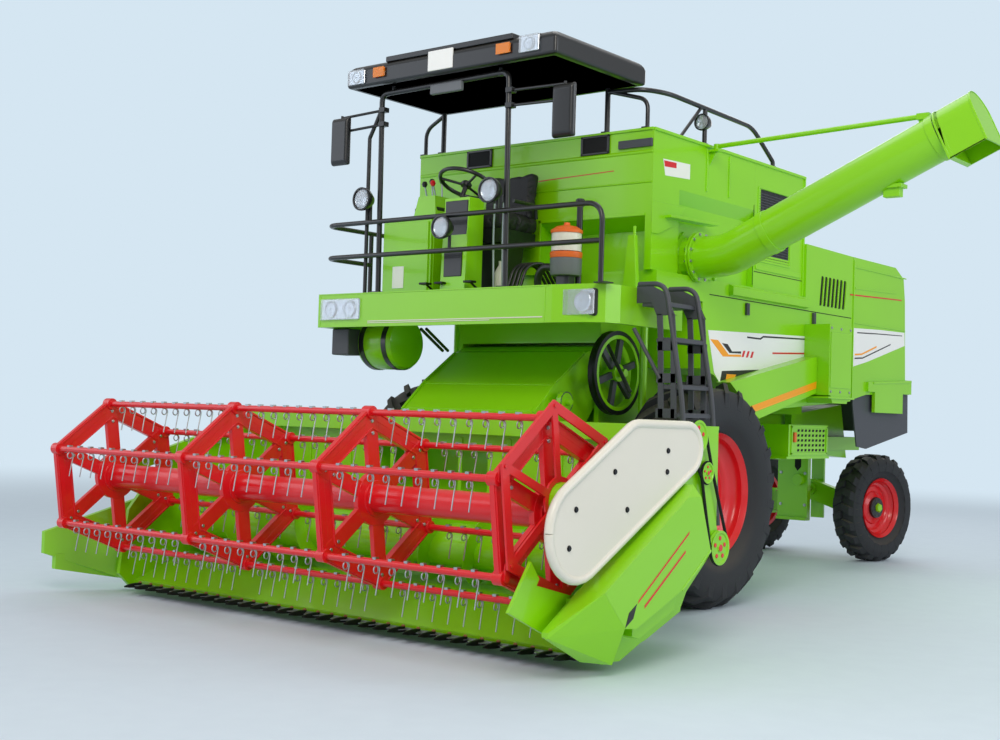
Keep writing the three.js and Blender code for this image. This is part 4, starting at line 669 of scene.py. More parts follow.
@dataclass
class Lamp:
    """A lamp in a housing: round work lamps and square roof or bumper lamps.

    Attributes:
        name: the object's name.
        centre: middle of its face.
        size: (width, height), or one diameter twice for a round lamp.
        body: the CAD body it rides on.
        round: whether it is round.
        lens: the lens' finish.
    """

    name: str
    centre: Place
    size: Pair
    body: str = "machine"
    round: bool = False
    lens: Finish = LENS
    depth: float = 0.05

    def build(self) -> None:
        """Build the housing, reflector and lens, all facing ahead."""
        if self.round:
            self._round_lamp()
            return
        x, y, z = self.centre
        w, h = self.size[0] / 2, self.size[1] / 2
        shell = Solid().box((x - w, x + w), (y + 0.006, y + self.depth), (z - h, z + h))
        shell.piece(f"{self.name}_housing", BLACK, self.body, bevel=min(w, h) * 0.35)
        edge = 0.011
        face = Solid().box((x - w + edge, x + w - edge), (y, y + 0.012), (z - h + edge, z + h - edge))
        face.piece(f"{self.name}_face", CHROME if self.lens is LENS else self.lens, self.body, bevel=0.006)
        bowls = Solid()
        count = 2 if w > 1.6 * h else 1
        for i in range(count):
            u = x + (w - edge) * (2 * i + 1 - count) / count
            r = min((w - edge) / count, h - edge) * 0.86
            bowls.turned([(r, 0.004), (r * 0.92, 0.008), (r * 0.6, 0.001), (r * 0.3, 0.005), (0.0, 0.006)],
                         (u, y, z), Vector((0, -1, 0)), 32)
        bowls.piece(f"{self.name}_bowls", CHROME if self.lens is LENS else self.lens, self.body)
        glass = Solid().box((x - w + 0.008, x + w - 0.008), (y - 0.014, y - 0.01),
                            (z - h + 0.008, z + h - 0.008))
        glass.piece(f"{self.name}_lens", self.lens, self.body, bevel=0.0018)

    def _round_lamp(self) -> None:
        """Build a deep round bowl with its reflector and glass."""
        r, ahead = self.size[0] / 2, Vector((0, -1, 0))
        shell = [(0.0, -0.09), (r * 0.5, -0.085), (r * 0.92, -0.03), (r, -0.005), (r, 0.012),
                 (r * 0.88, 0.014), (r * 0.86, 0.0), (r * 0.5, -0.04), (0.0, -0.05)]
        Solid().turned(shell, self.centre, ahead, 36).piece(f"{self.name}_bowl", BLACK, self.body)
        mirror = [(r * 0.85, 0.002), (r * 0.5, -0.036), (r * 0.12, -0.046), (0.0, -0.046)]
        Solid().turned(mirror, self.centre, ahead, 36).piece(f"{self.name}_reflector", CHROME, self.body)
        glass = [(0.0, 0.012), (r * 0.6, 0.009), (r * 0.84, 0.003), (r * 0.84, -0.001), (0.0, 0.004)]
        Solid().turned(glass, self.centre, ahead, 36).piece(f"{self.name}_lens", self.lens, self.body)


@dataclass
class Canopy:
    """Sunshade, its posts, guard rails, lamps and mirrors."""

    posts: Pair = (-0.66, 0.48)
    post_y: float = -1.322
    rail_y: float = -1.352
    half: float = 0.924
    lamps: list[Lamp] = field(default_factory=lambda: [
        Lamp("roof_lamp_right", (-0.82, -1.44, 3.612), (0.17, 0.12)),
        Lamp("roof_flasher_right", (-0.6, -1.44, 3.622), (0.12, 0.085), lens=AMBER),
        Lamp("roof_flasher_left", (0.505, -1.44, 3.628), (0.13, 0.085), lens=AMBER),
        Lamp("roof_lamp_left", (0.715, -1.44, 3.632), (0.17, 0.125)),
        Lamp("work_lamp_right", (-0.77, -1.4, 2.755), (0.165, 0.165), round=True),
        Lamp("work_lamp_left", (0.385, -1.4, 2.728), (0.17, 0.17), round=True),
        Lamp("work_lamp_low", (-0.021, -1.4, 2.512), (0.16, 0.16), round=True),
        Lamp("headlamp_right", (-0.968, -1.378, 1.985), (0.4, 0.165)),
        Lamp("headlamp_left", (1.045, -1.352, 1.985), (0.34, 0.175)),
    ])

    def build(self) -> None:
        """Build the roof, the tubes and what hangs on them."""
        self._roof()
        self._tubes()
        self._mirrors()
        for lamp in self.lamps:
            lamp.build()
        self._rear_rails()
        log.info("canopy built")

    def _roof(self) -> None:
        """Build the roof's shell and the blank plate on its front."""
        h, front, rear, low = self.half, -1.437, -0.4, 3.543
        rings = []
        for inset, z in ((0.0, low), (0.0, low + 0.125), (0.03, low + 0.15), (0.09, low + 0.16)):
            rings.append([Vector(p) for p in ((-h + inset, front + inset, z), (h - inset, front + inset, z),
                                              (h - inset, rear - inset, z), (-h + inset, rear - inset, z))])
        inner = [[Vector((v.x * 0.976, (v.y + 0.92) * 0.955 - 0.92, z)) for v in rings[0]]
                 for z in (low + 0.13, low)]
        Solid().loft(rings + inner, closed=False).piece("canopy_roof_shell", BLACK, "machine", 0.022,
                                                        ("canopy_roof",))
        panel = Solid().box((-0.56, 0.56), (-1.425, -0.42), (3.69, 3.728))
        for side in (-1, 1):
            panel.box((side * 0.74 - 0.08, side * 0.74 + 0.08), (-1.36, -0.5), (3.7, 3.712))
        panel.piece("canopy_roof_panel", BLACK, "machine", 0.012)
        Solid().box((-0.15, 0.07), (-1.443, -1.43), (3.565, 3.7)).piece("canopy_blank_plate", PANEL_WHITE,
                                                                        "machine", 0.004)
        Solid().box((-0.2, 0.08), (-1.36, -1.325), (3.43, 3.5)).piece("inside_mirror_shell", GREY,
                                                                      "machine", 0.01)

    def _tubes(self) -> None:
        """Bend the posts and guard rails."""
        right, left = self.posts
        y, r = self.post_y, 0.019
        made = Solid()
        made.tube(rounded_path([(right, y, 2.098), (right - 0.02, y, 3.5), (left - 0.02, y, 3.51),
                                (left, y, 2.098)],
                               0.06), r, 14)
        for x in (right + 0.09, left - 0.09):
            made.rod((x, y, 3.49), (x, y, 3.68), 0.014)
        left_end = (1.252, self.rail_y)
        made.tube(rounded_path([(*left_end, 2.098), (*left_end, 2.595), (-1.175, self.rail_y, 2.595),
                                (-1.175, -0.7, 2.595)], 0.12), 0.017, 14)
        made.tube(rounded_path([(*left_end, 2.36), (-1.175, self.rail_y, 2.36), (-1.175, -0.88, 2.36)],
                               0.12), 0.017, 14)
        made.rod((-1.175, -0.88, 2.098), (-1.175, -0.88, 2.595), 0.017)
        made.rod((-0.79, y, 2.098), (-0.79, y, 3.2), 0.014)
        made.tube(rounded_path([(-0.79, y, 3.2), (-0.72, y, 3.32), (right - 0.02, y, 3.4)], 0.06), 0.014)
        for x, z in ((-0.77, 2.755), (0.385, 2.728), (-0.021, 2.512)):
            made.rod((x, -1.345, z), (x, -1.3, z), 0.016)
            made.rod((x, -1.31, 2.595 if z > 2.6 else 2.36), (x, -1.31, z), 0.012)
        for x in (right, left, 1.252):
            made.box((x - 0.045, x + 0.045), (y - 0.04, y + 0.045), (2.0983, 2.106))
        made.piece("canopy_tubes", BLACK, "machine", replaces=("canopy_frame",))

    def _mirrors(self) -> None:
        """Build both mirrors on their arms."""
        for name, post, head in (("left", self.posts[1], 0.965), ("right", self.posts[0], -1.01)):
            y = self.post_y
            arms = Solid()
            for z in (3.385, 3.285):
                arms.rod((post, y, z), (head, y - 0.06, z - 0.03), 0.0095)
            arms.rod((head, y - 0.062, 3.02), (head, y - 0.062, 3.37), 0.0095)
            for z in (3.385, 3.285):
                arms.box((post - 0.026, post + 0.026), (y - 0.026, y + 0.026), (z - 0.016, z + 0.016))
            arms.piece(f"mirror_arms_{name}", BLACK, "machine")
            shell = Solid().loft([
                [Vector((head + u * s, y - 0.075 + d, 3.185 + v * s)) for u, v in
                 ((-0.085, -0.17), (0.085, -0.17), (0.085, 0.17), (-0.085, 0.17))]
                for d, s in ((0.026, 1.0), (0.0, 1.0), (-0.022, 0.84))])
            shell.piece(f"mirror_shell_{name}", BLACK, "machine", 0.02)
            Solid().box((head - 0.072, head + 0.072), (y - 0.05, y - 0.045), (3.03, 3.34)).piece(
                f"mirror_glass_{name}", GLASS, "machine", 0.004)

    def _rear_rails(self) -> None:
        """Bend the rails over the grain tank."""
        y, side, foot = -0.476, 1.04, 3.2353
        made = Solid()
        for x in (-0.84, 0.66):
            made.rod((x, y, foot), (x, y, 3.675), 0.019)
        made.tube(rounded_path([(-0.84, y, 3.525), (-1.02, y, 3.43), (-1.02, y, foot)], 0.07), 0.015)
        made.tube(rounded_path([(0.66, y, 3.525), (0.99, y, 3.43), (0.99, y, foot)], 0.07), 0.015)
        made.rod((-0.84, y, 3.56), (0.66, y, 3.56), 0.015)
        made.tube(rounded_path([(0.66, y, 3.518), (0.94, y, 3.508), (side, -0.3, 3.5), (side, 0.88, 3.48),
                                (side, 1.215, 3.275), (side, 1.215, foot)], 0.1), 0.017)
        made.rod((side, -0.13, foot), (side, 0.15, 3.5), 0.012)
        made.rod((side, 0.19, foot), (side, 0.19, 3.49), 0.017)
        for x, yy in ((-0.84, y), (0.66, y), (-1.02, y), (0.99, y), (side, 0.19), (side, 1.215)):
            made.box((x - 0.03, x + 0.013), (yy - 0.03, yy + 0.03), (foot, foot + 0.008))
        made.piece("tank_rail_tubes", BLACK, "machine", replaces=("tank_rails",))
        Lamp("rear_lamp", (1.03, 0.17, 3.39), (0.12, 0.12), round=True).build()


@dataclass
class Cushion:
    """A stuffed pad, filled with a short cloth simulation.

    Attributes:
        name: the object's name.
        middle: centre of the pad.
        size: (x, y, z) of the pad before it fills.
        tilt: lean about X, degrees.
    """

    name: str
    middle: Place
    size: Place
    tilt: float = 0.0

    def build(self) -> bpy.types.Object:
        """Build the pad and let it fill.

        Returns:
            The pad.
        """
        made = Solid()
        w, d, h = (s / 2 for s in self.size)
        made.box((-w, w), (-d, d), (-h, h))
        turn = Matrix.Rotation(math.radians(self.tilt), 4, "X")
        bmesh.ops.transform(made.mesh, matrix=Matrix.Translation(self.middle) @ turn, verts=made.mesh.verts)
        pad = made.piece(self.name, VINYL, "machine")
        self._soften(pad)
        return pad

    def _soften(self, pad: bpy.types.Object) -> None:
        """Round, remesh and inflate the pad with cloth.

        Args:
            pad: the plain block, which it changes.
        """
        bpy.context.view_layer.objects.active = pad
        pad.select_set(True)
        rounding = pad.modifiers.new("corners", "BEVEL")
        rounding.width, rounding.segments = 0.024, 3
        remesh = pad.modifiers.new("grid", "REMESH")
        remesh.mode, remesh.voxel_size = "VOXEL", 0.006
        self._apply(pad)
        cloth = pad.modifiers.new("filling", "CLOTH")
        settings = cloth.settings
        settings.use_pressure, settings.uniform_pressure_force = True, 4.0
        settings.effector_weights.gravity = 0.0
        settings.tension_stiffness = settings.compression_stiffness = 30.0
        settings.quality = 6
        cloth.point_cache.frame_start, cloth.point_cache.frame_end = 1, 20
        scene = bpy.context.scene
        for step in range(1, 21):
            scene.frame_set(step)
        self._apply(pad)
        scene.frame_set(1)
        self._cap(pad, 0.02)
        smooth = pad.modifiers.new("smooth", "SUBSURF")
        smooth.levels = smooth.render_levels = 1
        self._apply(pad)
        pad.data.shade_smooth()
        pad.select_set(False)

    def _apply(self, pad: bpy.types.Object) -> None:
        """Apply every modifier of the pad.

        Args:
            pad: the pad.
        """
        for modifier in list(pad.modifiers):
            bpy.ops.object.modifier_apply(modifier=modifier.name)

    def _cap(self, pad: bpy.types.Object, most: float) -> None:
        """Keep the pad within its own size plus a little fullness."""
        turn = Matrix.Rotation(math.radians(self.tilt), 4, "X")
        local = (Matrix.Translation(at(self.middle)) @ turn).inverted()
        back = local.inverted()
        for vert in pad.data.vertices:
            p = local @ vert.co
            for i, size in enumerate(self.size):
                limit = size / 2 + (most if i == 2 else most * 0.3)
                p[i] = max(-limit, min(limit, p[i]))
            vert.co = back @ p


@dataclass
class Station:
    """Seat, wheel, levers and cabinets on the platform."""

    seat: Pair = (-0.05, -0.78)
    wheel: Place = (-0.06, -1.105, 2.85)
    tilt: float = 24.0

    def build(self) -> None:
        """Build what the driver uses."""
        self._seat()
        self._steering()
        self._levers()
        self._cleaner()
        self._drum()
        self._platform()
        log.info("driver's station built")

    def _seat(self) -> None:
        """Build the seat's pads and arms."""
        x, y = self.seat
        pad = Cushion("seat_cushion", (x, y - 0.015, 2.607), (0.46, 0.42, 0.1)).build()
        back = Cushion("seat_backrest", (x, y + 0.155, 2.81), (0.44, 0.09, 0.34), -4.0).build()
        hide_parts("seat_pads")
        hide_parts("seat_pads")
        arms = Solid()
        for side in (-1, 1):
            path = rounded_path([(x + side * 0.235, y + 0.15, 2.65), (x + side * 0.25, y + 0.12, 2.74),
                                 (x + side * 0.25, y - 0.13, 2.74)], 0.05)
            arms.tube(path, 0.013)
        arms.piece("seat_arms", BLACK, "machine")

    def _steering(self) -> None:
        """Build the steering wheel and the column's panels."""
        centre = Vector(self.wheel)
        turn = Matrix.Rotation(math.radians(-self.tilt), 3, "X")
        made = Solid()
        ring = [(0.19 + 0.014 * math.cos(a),
                 0.014 * math.sin(a)) for a in (i * math.pi / 6 for i in range(12))]
        made.turned(ring, self.wheel, turn @ Vector((0, 0, 1)), 48)
        for degrees in (90, 210, 330):
            a = math.radians(degrees)
            out = turn @ Vector((0.188 * math.cos(a), 0.188 * math.sin(a), 0))
            made.rod(centre + turn @ Vector((0, 0, -0.014)), centre + out, 0.009)
        made.turned([(0.0, -0.024), (0.036, -0.024), (0.04, -0.004), (0.03, 0.01), (0.0, 0.012)], self.wheel,
                    turn @ Vector((0, 0, 1)), 24)
        made.rod(centre + turn @ Vector((0, 0, -0.1128)), centre + turn @ Vector((0, 0, -0.01)), 0.016)
        made.piece("steering_wheel_ring", BLACK, "machine", replaces=("steering_wheel",))
        x, y, _ = self.wheel
        trim = Solid().box((x - 0.1, x + 0.1), (y - 0.098, y - 0.088), (2.48, 2.72))
        trim.box((x - 0.09, x + 0.07), (y - 0.112, y - 0.096), (2.2, 2.4))
        trim.piece("column_panel", BLACK, "machine", 0.006)

    def _levers(self) -> None:
        """Build the levers, pedals, cabinet, bottle, linkage and hoses."""
        unit = Solid().box((-0.84, -0.62), (-0.78, -0.58), (2.7, 2.78))
        unit.box((-0.8, -0.66), (-0.76, -0.6), (2.78, 2.83))
        unit.piece("lever_gate", BLACK, "machine", 0.01)
        rods, knobs, reds = Solid(), Solid(), Solid()
        for i, (x, lean) in enumerate(((-0.79, -0.05), (-0.745, -0.02), (-0.7, -0.06), (-0.655, -0.01))):
            top = Vector((x, -0.68 + lean, 2.96 + 0.02 * (i % 2)))
            rods.rod((x, -0.68, 2.8), top, 0.006)
            ball = [(0.0, -0.024), (0.014, -0.02), (0.022, 0.0), (0.015, 0.018), (0.0, 0.024)]
            (reds if i == 2 else knobs).turned(ball, top, Vector((0, 0, 1)), 20)
        for x in (0.12, 0.2):
            rods.tube(rounded_path([(x, -1.0, 2.1), (x, -1.02, 2.5), (x + 0.04, -1.06, 2.72)], 0.1), 0.008)
            knobs.turned([(0.0, -0.03), (0.016, -0.024), (0.018, 0.02), (0.0, 0.03)], (x + 0.04, -1.06, 2.73),
                         Vector((0, 0, 1)), 16)
        rods.piece("lever_rods", STEEL, "machine")
        knobs.piece("lever_knobs", BLACK, "machine")
        reds.piece("lever_knob_red", RED, "machine")
        pedals = Solid()
        for x in (-0.3, -0.16, 0.1):
            pedals.box((x - 0.035, x + 0.035), (-1.26, -1.2), (2.15, 2.165))
            pedals.rod((x, -1.22, 2.155), (x, -1.12, 2.1), 0.008)
        pedals.piece("pedals", DARK_STEEL, "machine", 0.004)
        cabinet = Solid()
        cabinet.box((-1.06, -0.62), (-0.862, -0.85), (2.14, 2.66))
        cabinet.box((-0.6, -0.592), (-0.83, -0.52), (2.16, 2.64))
        cabinet.piece("cabinet_doors", GREEN, "machine", 0.006)
        Solid().box((-0.96, -0.85), (-0.866, -0.86), (2.18, 2.34)).piece("cabinet_blank_label", PANEL_WHITE,
                                                                         "machine")
        bottle = Solid().turned([(0.0, 2.1), (0.045, 2.1), (0.047, 2.24), (0.03, 2.28), (0.018, 2.3),
                                 (0.018, 2.33), (0.0, 2.33)], (0.1, -0.9, 0.0), Vector((0, 0, 1)), 28)
        bottle.piece("reservoir_bottle", WHITE, "machine")
        tower = Solid()
        for x, top in ((0.4, 2.5), (0.47, 2.42), (0.95, 2.56)):
            tower.rod((x, -0.56, 2.1), (x + 0.03, -0.58, top), 0.011)
        tower.box((0.36, 0.56), (-0.62, -0.6), (2.4, 2.44))
        tower.taper([(0.9, -0.6, 2.1), (1.02, -0.6, 2.1), (1.02, -0.56, 2.1), (0.9, -0.56, 2.1)],
                    [(0.94, -0.6, 2.5), (0.99, -0.6, 2.5), (0.99, -0.56, 2.5), (0.94, -0.56, 2.5)])
        tower.piece("control_linkage", GREEN, "machine", 0.003)
        hoses = Solid()
        for i in range(4):
            x = 0.22 + 0.035 * i
            hoses.tube(rounded_path([(x, -0.98, 2.1), (x, -0.9, 2.3), (x + 0.06, -0.75, 2.32),
                                     (x + 0.1, -0.6, 2.1)],
                                    0.14), 0.011)
        hoses.piece("control_hoses", BLACK, "machine")

    def _cleaner(self) -> None:
        """Build the air pre-cleaner and the pipe beside it."""
        up, place = Vector((0, 0, 1)), (0.69, -0.95, 0.0)
        bands = (
            ("bowl", GREY, [(0.0, 2.2), (0.098, 2.2), (0.104, 2.22), (0.106, 2.315), (0.0, 2.315)]),
            ("ring", ORANGE, [(0.0, 2.315), (0.103, 2.315), (0.108, 2.33), (0.108, 2.355), (0.0, 2.36)]),
            ("window", WHITE, [(0.0, 2.36), (0.1, 2.36), (0.1, 2.48), (0.0, 2.48)]),
            ("cap", ORANGE, [(0.0, 2.48), (0.106, 2.48), (0.108, 2.5), (0.07, 2.525), (0.022, 2.535),
                             (0.02, 2.552), (0.0, 2.556)]),
        )
        for part, finish, profile in bands:
            replaces = ("air_precleaner",) if part == "bowl" else ()
            Solid().turned(profile, place, up, 40).piece(f"cleaner_{part}", finish, "machine", 0.003,
                                                         replaces)
        pipe = Solid().rod((0.735, -0.87, 2.0983), (0.735, -0.87, 2.7), 0.021, 20)
        pipe.turned([(0.0, 2.67), (0.03, 2.67), (0.031, 2.712), (0.02, 2.72), (0.0, 2.72)],
                    (0.735, -0.87, 0.0), up, 24)
        pipe.box((0.64, 0.74), (-0.985, -0.915), (2.0983, 2.2))
        pipe.tube(rounded_path([(0.6, -0.95, 2.26), (0.5, -0.95, 2.27), (0.44, -0.93, 2.2),
                                (0.43, -0.9, 2.1)], 0.07), 0.026)
        pipe.piece("cleaner_pipe", BLACK, "machine")

    def _drum(self) -> None:
        """Build the fuel drum with its straps."""
        y, z, ahead = -0.95, 1.765, Vector((1, 0, 0))
        ends = [(0.0, -1.065), (0.1, -1.06), (0.175, -1.045), (0.19, -1.02), (0.19, -0.74), (0.175, -0.715),
                (0.1, -0.7), (0.0, -0.695)]
        Solid().turned(ends, (0, y, z), ahead, 48).piece("fuel_drum_shell", GREEN, "machine",
                                                         replaces=("fuel_drum",))
        straps = Solid()
        for x in (-0.99, -0.77):
            straps.turned([(0.189, x - 0.022), (0.194, x - 0.022), (0.194, x + 0.022), (0.189, x + 0.022)],
                          (0, y, z), ahead, 48)
            straps.box((x - 0.022, x + 0.022), (y - 0.05, y + 0.05), (z + 0.18, 2.057))
        straps.piece("drum_straps", BLACK, "machine")
        Solid().box((-1.19, -1.02), (-1.24, -1.08), (1.67, 1.86)).piece("drum_side_box", CHARCOAL,
                                                                        "machine", 0.01)

    def _platform(self) -> None:
        """Dress the platform's front edge and its deck."""
        lines = Solid().box((-0.7, 0.83), (-1.3775, -1.374), (1.893, 1.9))
        lines.box((-0.7, 0.4), (-1.3775, -1.374), (1.882, 1.887))
        lines.piece("bumper_pinstripe", WHITE, "machine")
        reflector = Solid().box((1.16, 1.2), (-1.352, -1.349), (1.93, 2.04))
        reflector.piece("bumper_reflector", PANEL_WHITE, "machine")
        trim = Solid()
        for x in (-1.185, 0.84):
            trim.box((x, x + 0.012), (-1.3775, -1.373), (1.868, 2.09))
        trim.box((-1.19, 0.885), (-1.378, -1.373), (2.088, 2.0975))
        trim.piece("bumper_trim", GREEN, "machine", 0.002)
        tread = Solid()
        for i in range(17):
            for j in range(8):
                x, y = -1.05 + i * 0.135, -1.27 + j * 0.1
                if -0.4 < x < 0.3 and y > -1.0:
                    continue
                tread.strip((y - 0.02, 2.0975), (y + 0.02, 2.0975), 0.006, (x - 0.004, x + 0.004))
        tread.piece("deck_tread", GREEN, "machine")


# ------------ ladder


@dataclass
class Ladder:
    """Boarding ladder with pierced stringers and tube stiles."""

    planes: Pair = (-1.0, -0.64)
    edge: float = 1.2905

    def build(self) -> None:
        """Build the stringers, treads and stiles."""
        made = Solid()
        head = [(self.edge, 2.0), (self.edge, 2.11), (1.37, 2.12), (1.5, 2.06), (1.57, 1.92), (1.44, 1.92),
                (1.4, 2.0)]
        rear = [(1.44, 1.93), (1.48, 1.93), (1.49, 1.79), (1.506, 1.283), (1.468, 1.283), (1.452, 1.79)]
        front = [(1.535, 1.93), (1.57, 1.92), (1.582, 1.79), (1.598, 1.283), (1.56, 1.283), (1.545, 1.79)]
        bridges = [[(1.45, z), (1.59, z), (1.59, z + 0.06), (1.45, z + 0.06)] for z in (1.7, 1.5, 1.283)]
        for y in self.planes:
            span = (y - 0.006, y + 0.006)
            for outline in (head, rear, front, *bridges):
                made.prism(outline, Axis.Y, span)
            made.tube(rounded_path([(self.edge + 0.01, y, 2.118), (1.5, y, 2.118), (1.637, y, 1.4),
                                    (1.7, y, 0.62)],
                                   0.09), 0.016, 14)
        for x0, x1, z in ((1.33, 1.5, 1.99), (1.44, 1.575, 1.765), (1.47, 1.62, 1.475), (1.545, 1.64, 1.3)):
            made.box((x0, x1), self.planes, (z - 0.012, z + 0.012))
            for i in range(5):
                x = x0 + (x1 - x0) * (i + 0.5) / 5
                made.box((x - 0.004, x + 0.004), (self.planes[0] + 0.02, self.planes[1] - 0.02),
                         (z + 0.01, z + 0.018))
        for z in (1.08, 0.88, 0.69):
            x = 1.637 + 0.063 * (1.4 - z) / 0.78
            made.box((x - 0.03, x + 0.012), self.planes, (z - 0.01, z + 0.01))
        made.rod((1.291, -1.03, 1.84), (1.475, -1.0, 1.525), 0.013)
        made.piece("ladder_frame", CHARCOAL, "machine", 0.002, ("boarding_ladder",))
        log.info("ladder built")


# ------------ body and tank


@dataclass
class BodyTrim:
    """Panels, films, grilles, latches and seams on the tank, covers and hood."""

    tank_side: float = 1.0555
    cover_side: float = 1.0835
    hood_side: float = 1.0855

    def build(self) -> None:
        """Dress the body."""
        self._films()
        self._grilles()
        self._tank_front()
        self._latches()
        self._flange()
        self._hood()
        self._underside()
        log.info("body dressed")

    def _film(self, name: str, finish: Finish, outline: list[Pair], x: float, layer: int = 1) -> None:
        """Lay one film on a flat side.

        Args:
            name: the object's name.
            finish: its finish.
            outline: (y, z) corners.
            x: where the side stands.
            layer: films lying one on another.
        """
        Solid().prism(outline, Axis.X, (x, x + 0.0006 * layer)).piece(name, finish, "machine")

    def _films(self) -> None:
        """Lay the stripes and bands on the left panels."""
        c, h = self.cover_side, self.hood_side
        white = [(0.233, 1.915), (2.095, 1.976), (2.095, 1.842), (1.331, 1.679), (0.45, 1.512), (0.33, 1.62)]
        self._film("side_film", PANEL_WHITE, white, c)
        wedges = (
            ("sash", FILM_ORANGE, [(0.264, 1.853), (0.376, 1.853), (0.532, 1.757), (0.716, 1.766),
                                   (0.717, 1.749), (0.449, 1.739)]),
            ("blade", FILM_BLACK, [(0.431, 1.835), (0.514, 1.832), (0.582, 1.782), (0.714, 1.79),
                                   (0.715, 1.773), (0.544, 1.769)]),
            ("blade_low", FILM_BLACK, [(0.441, 1.634), (1.281, 1.685), (0.407, 1.518)]),
            ("line", FILM_BLACK, [(0.8, 1.905), (1.0, 1.905), (1.05, 1.925), (2.02, 1.955), (2.02, 1.945),
                                  (1.05, 1.912), (1.01, 1.893), (0.8, 1.893)]),
            ("rule", FILM_RED, [(1.2, 1.795), (2.02, 1.835), (2.02, 1.848), (1.2, 1.808)]),
        )
        for name, finish, outline in wedges:
            self._film(f"side_film_{name}", finish, outline, c, 2)
        low = [(0.511, 1.615), (0.649, 1.616), (0.57, 1.545), (0.488, 1.535)]
        self._film("side_film_spark", FILM_ORANGE, low, c, 3)
        for i in range(3):
            y = 0.722 + i * 0.065
            self._film(f"side_film_tick_{i}", FILM_RED, [(y, 1.748), (y + 0.032, 1.75), (y + 0.058, 1.798),
                                                         (y + 0.026, 1.796)], c, 2)
        self._film("side_stripe", FILM_ORANGE, [(0.63, 1.38), (1.72, 1.607), (1.72, 1.553), (0.65, 1.332)],
                   1.2002)
        rear = [(2.63, 2.09), (3.166, 2.109), (3.7, 2.118), (3.71, 2.0), (2.911, 1.817), (2.63, 1.765)]
        self._film("hood_film", PANEL_WHITE, rear, h)
        marks = (
            ("rule", FILM_BLACK, [(2.7, 2.06), (3.1, 2.075), (3.65, 2.09), (3.65, 2.083), (3.1, 2.066),
                                  (2.7, 2.05)]),
            ("sash", FILM_ORANGE, [(2.66, 1.86), (2.8, 1.87), (3.1, 1.95), (3.1, 1.965), (2.8, 1.885),
                                   (2.66, 1.875)]),
            ("blade", FILM_BLACK, [(2.66, 1.83), (2.82, 1.84), (3.4, 1.99), (3.4, 2.0), (2.82, 1.852),
                                   (2.66, 1.842)]),
        )
        for name, finish, outline in marks:
            self._film(f"hood_film_{name}", finish, outline, h, 2)

    def _grilles(self) -> None:
        """Build the air grilles, with mesh, frame and a painted shade sheet behind the mesh, and the louvres
        with painted shade in their gaps.
        """
        x = self.tank_side - 0.006
        grille_shade, bars = Solid(), Solid()
        for outline in (((0.98, 2.86), (0.98, 3.03), (1.48, 3.05), (1.48, 2.86)),
                        ((1.06, 2.5), (1.06, 2.66), (1.49, 2.68), (1.49, 2.5))):
            # Painted shade: a near-black sheet behind the mesh stands for the shade inside the grille.
            grille_shade.prism(list(outline), Axis.X, (x, x + 0.002))
            (y0, z0), (_, z1) = outline[0], outline[1]
            y1 = outline[2][0]
            for i in range(int((y1 - y0) / 0.02)):
                y = y0 + 0.02 * i
                bars.box((x + 0.002, x + 0.005), (y, y + 0.005), (z0, z1))
            for i in range(int((z1 - z0) / 0.02)):
                z = z0 + 0.02 * i
                bars.box((x + 0.002, x + 0.0055), (y0, y1), (z, z + 0.005))
        grille_shade.piece("air_grille_painted_shade", SHADOW, "machine")
        bars.piece("air_grille_mesh", CHARCOAL, "machine")
        frame_bars = Solid()
        for z in (2.49, 2.69, 2.85, 3.045):
            frame_bars.box((x, x + 0.012), (0.98, 1.5), (z - 0.008, z + 0.008))
        for y in (0.975, 1.5):
            frame_bars.box((x, x + 0.012), (y - 0.008, y + 0.008), (2.49, 3.045))
        frame_bars.box((x, x + 0.009), (0.99, 1.49), (2.69, 2.85))
        frame_bars.piece("air_grille_frame", GREEN, "machine", 0.003)
        vents, louvre_shade = Solid(), Solid()
        face = self.cover_side
        for i in range(7):
            y = 1.98 + i * 0.07
            vents.taper([(face, y + 0.03, 2.23), (face, y + 0.046, 2.23), (face, y + 0.076, 2.47),
                         (face, y + 0.06, 2.47)],
                        [(face + 0.011, y + 0.03, 2.24), (face + 0.011, y + 0.036, 2.24),
                         (face + 0.011, y + 0.066, 2.46), (face + 0.011, y + 0.06, 2.46)])
            # Painted shade: a near-black strip in each gap between the louvres.
            louvre_shade.prism([(y, 2.23), (y + 0.028, 2.23), (y + 0.058, 2.47), (y + 0.03, 2.47)], Axis.X,
                       (face, face + 0.001))
        vents.piece("body_louvres", GREEN, "machine", 0.002)
        louvre_shade.piece("body_louvre_gap_shade", SHADOW, "machine")

    def _tank_front(self) -> None:
        """Dress the front of the grain tank."""
        y = -0.4915
        glass = Solid()
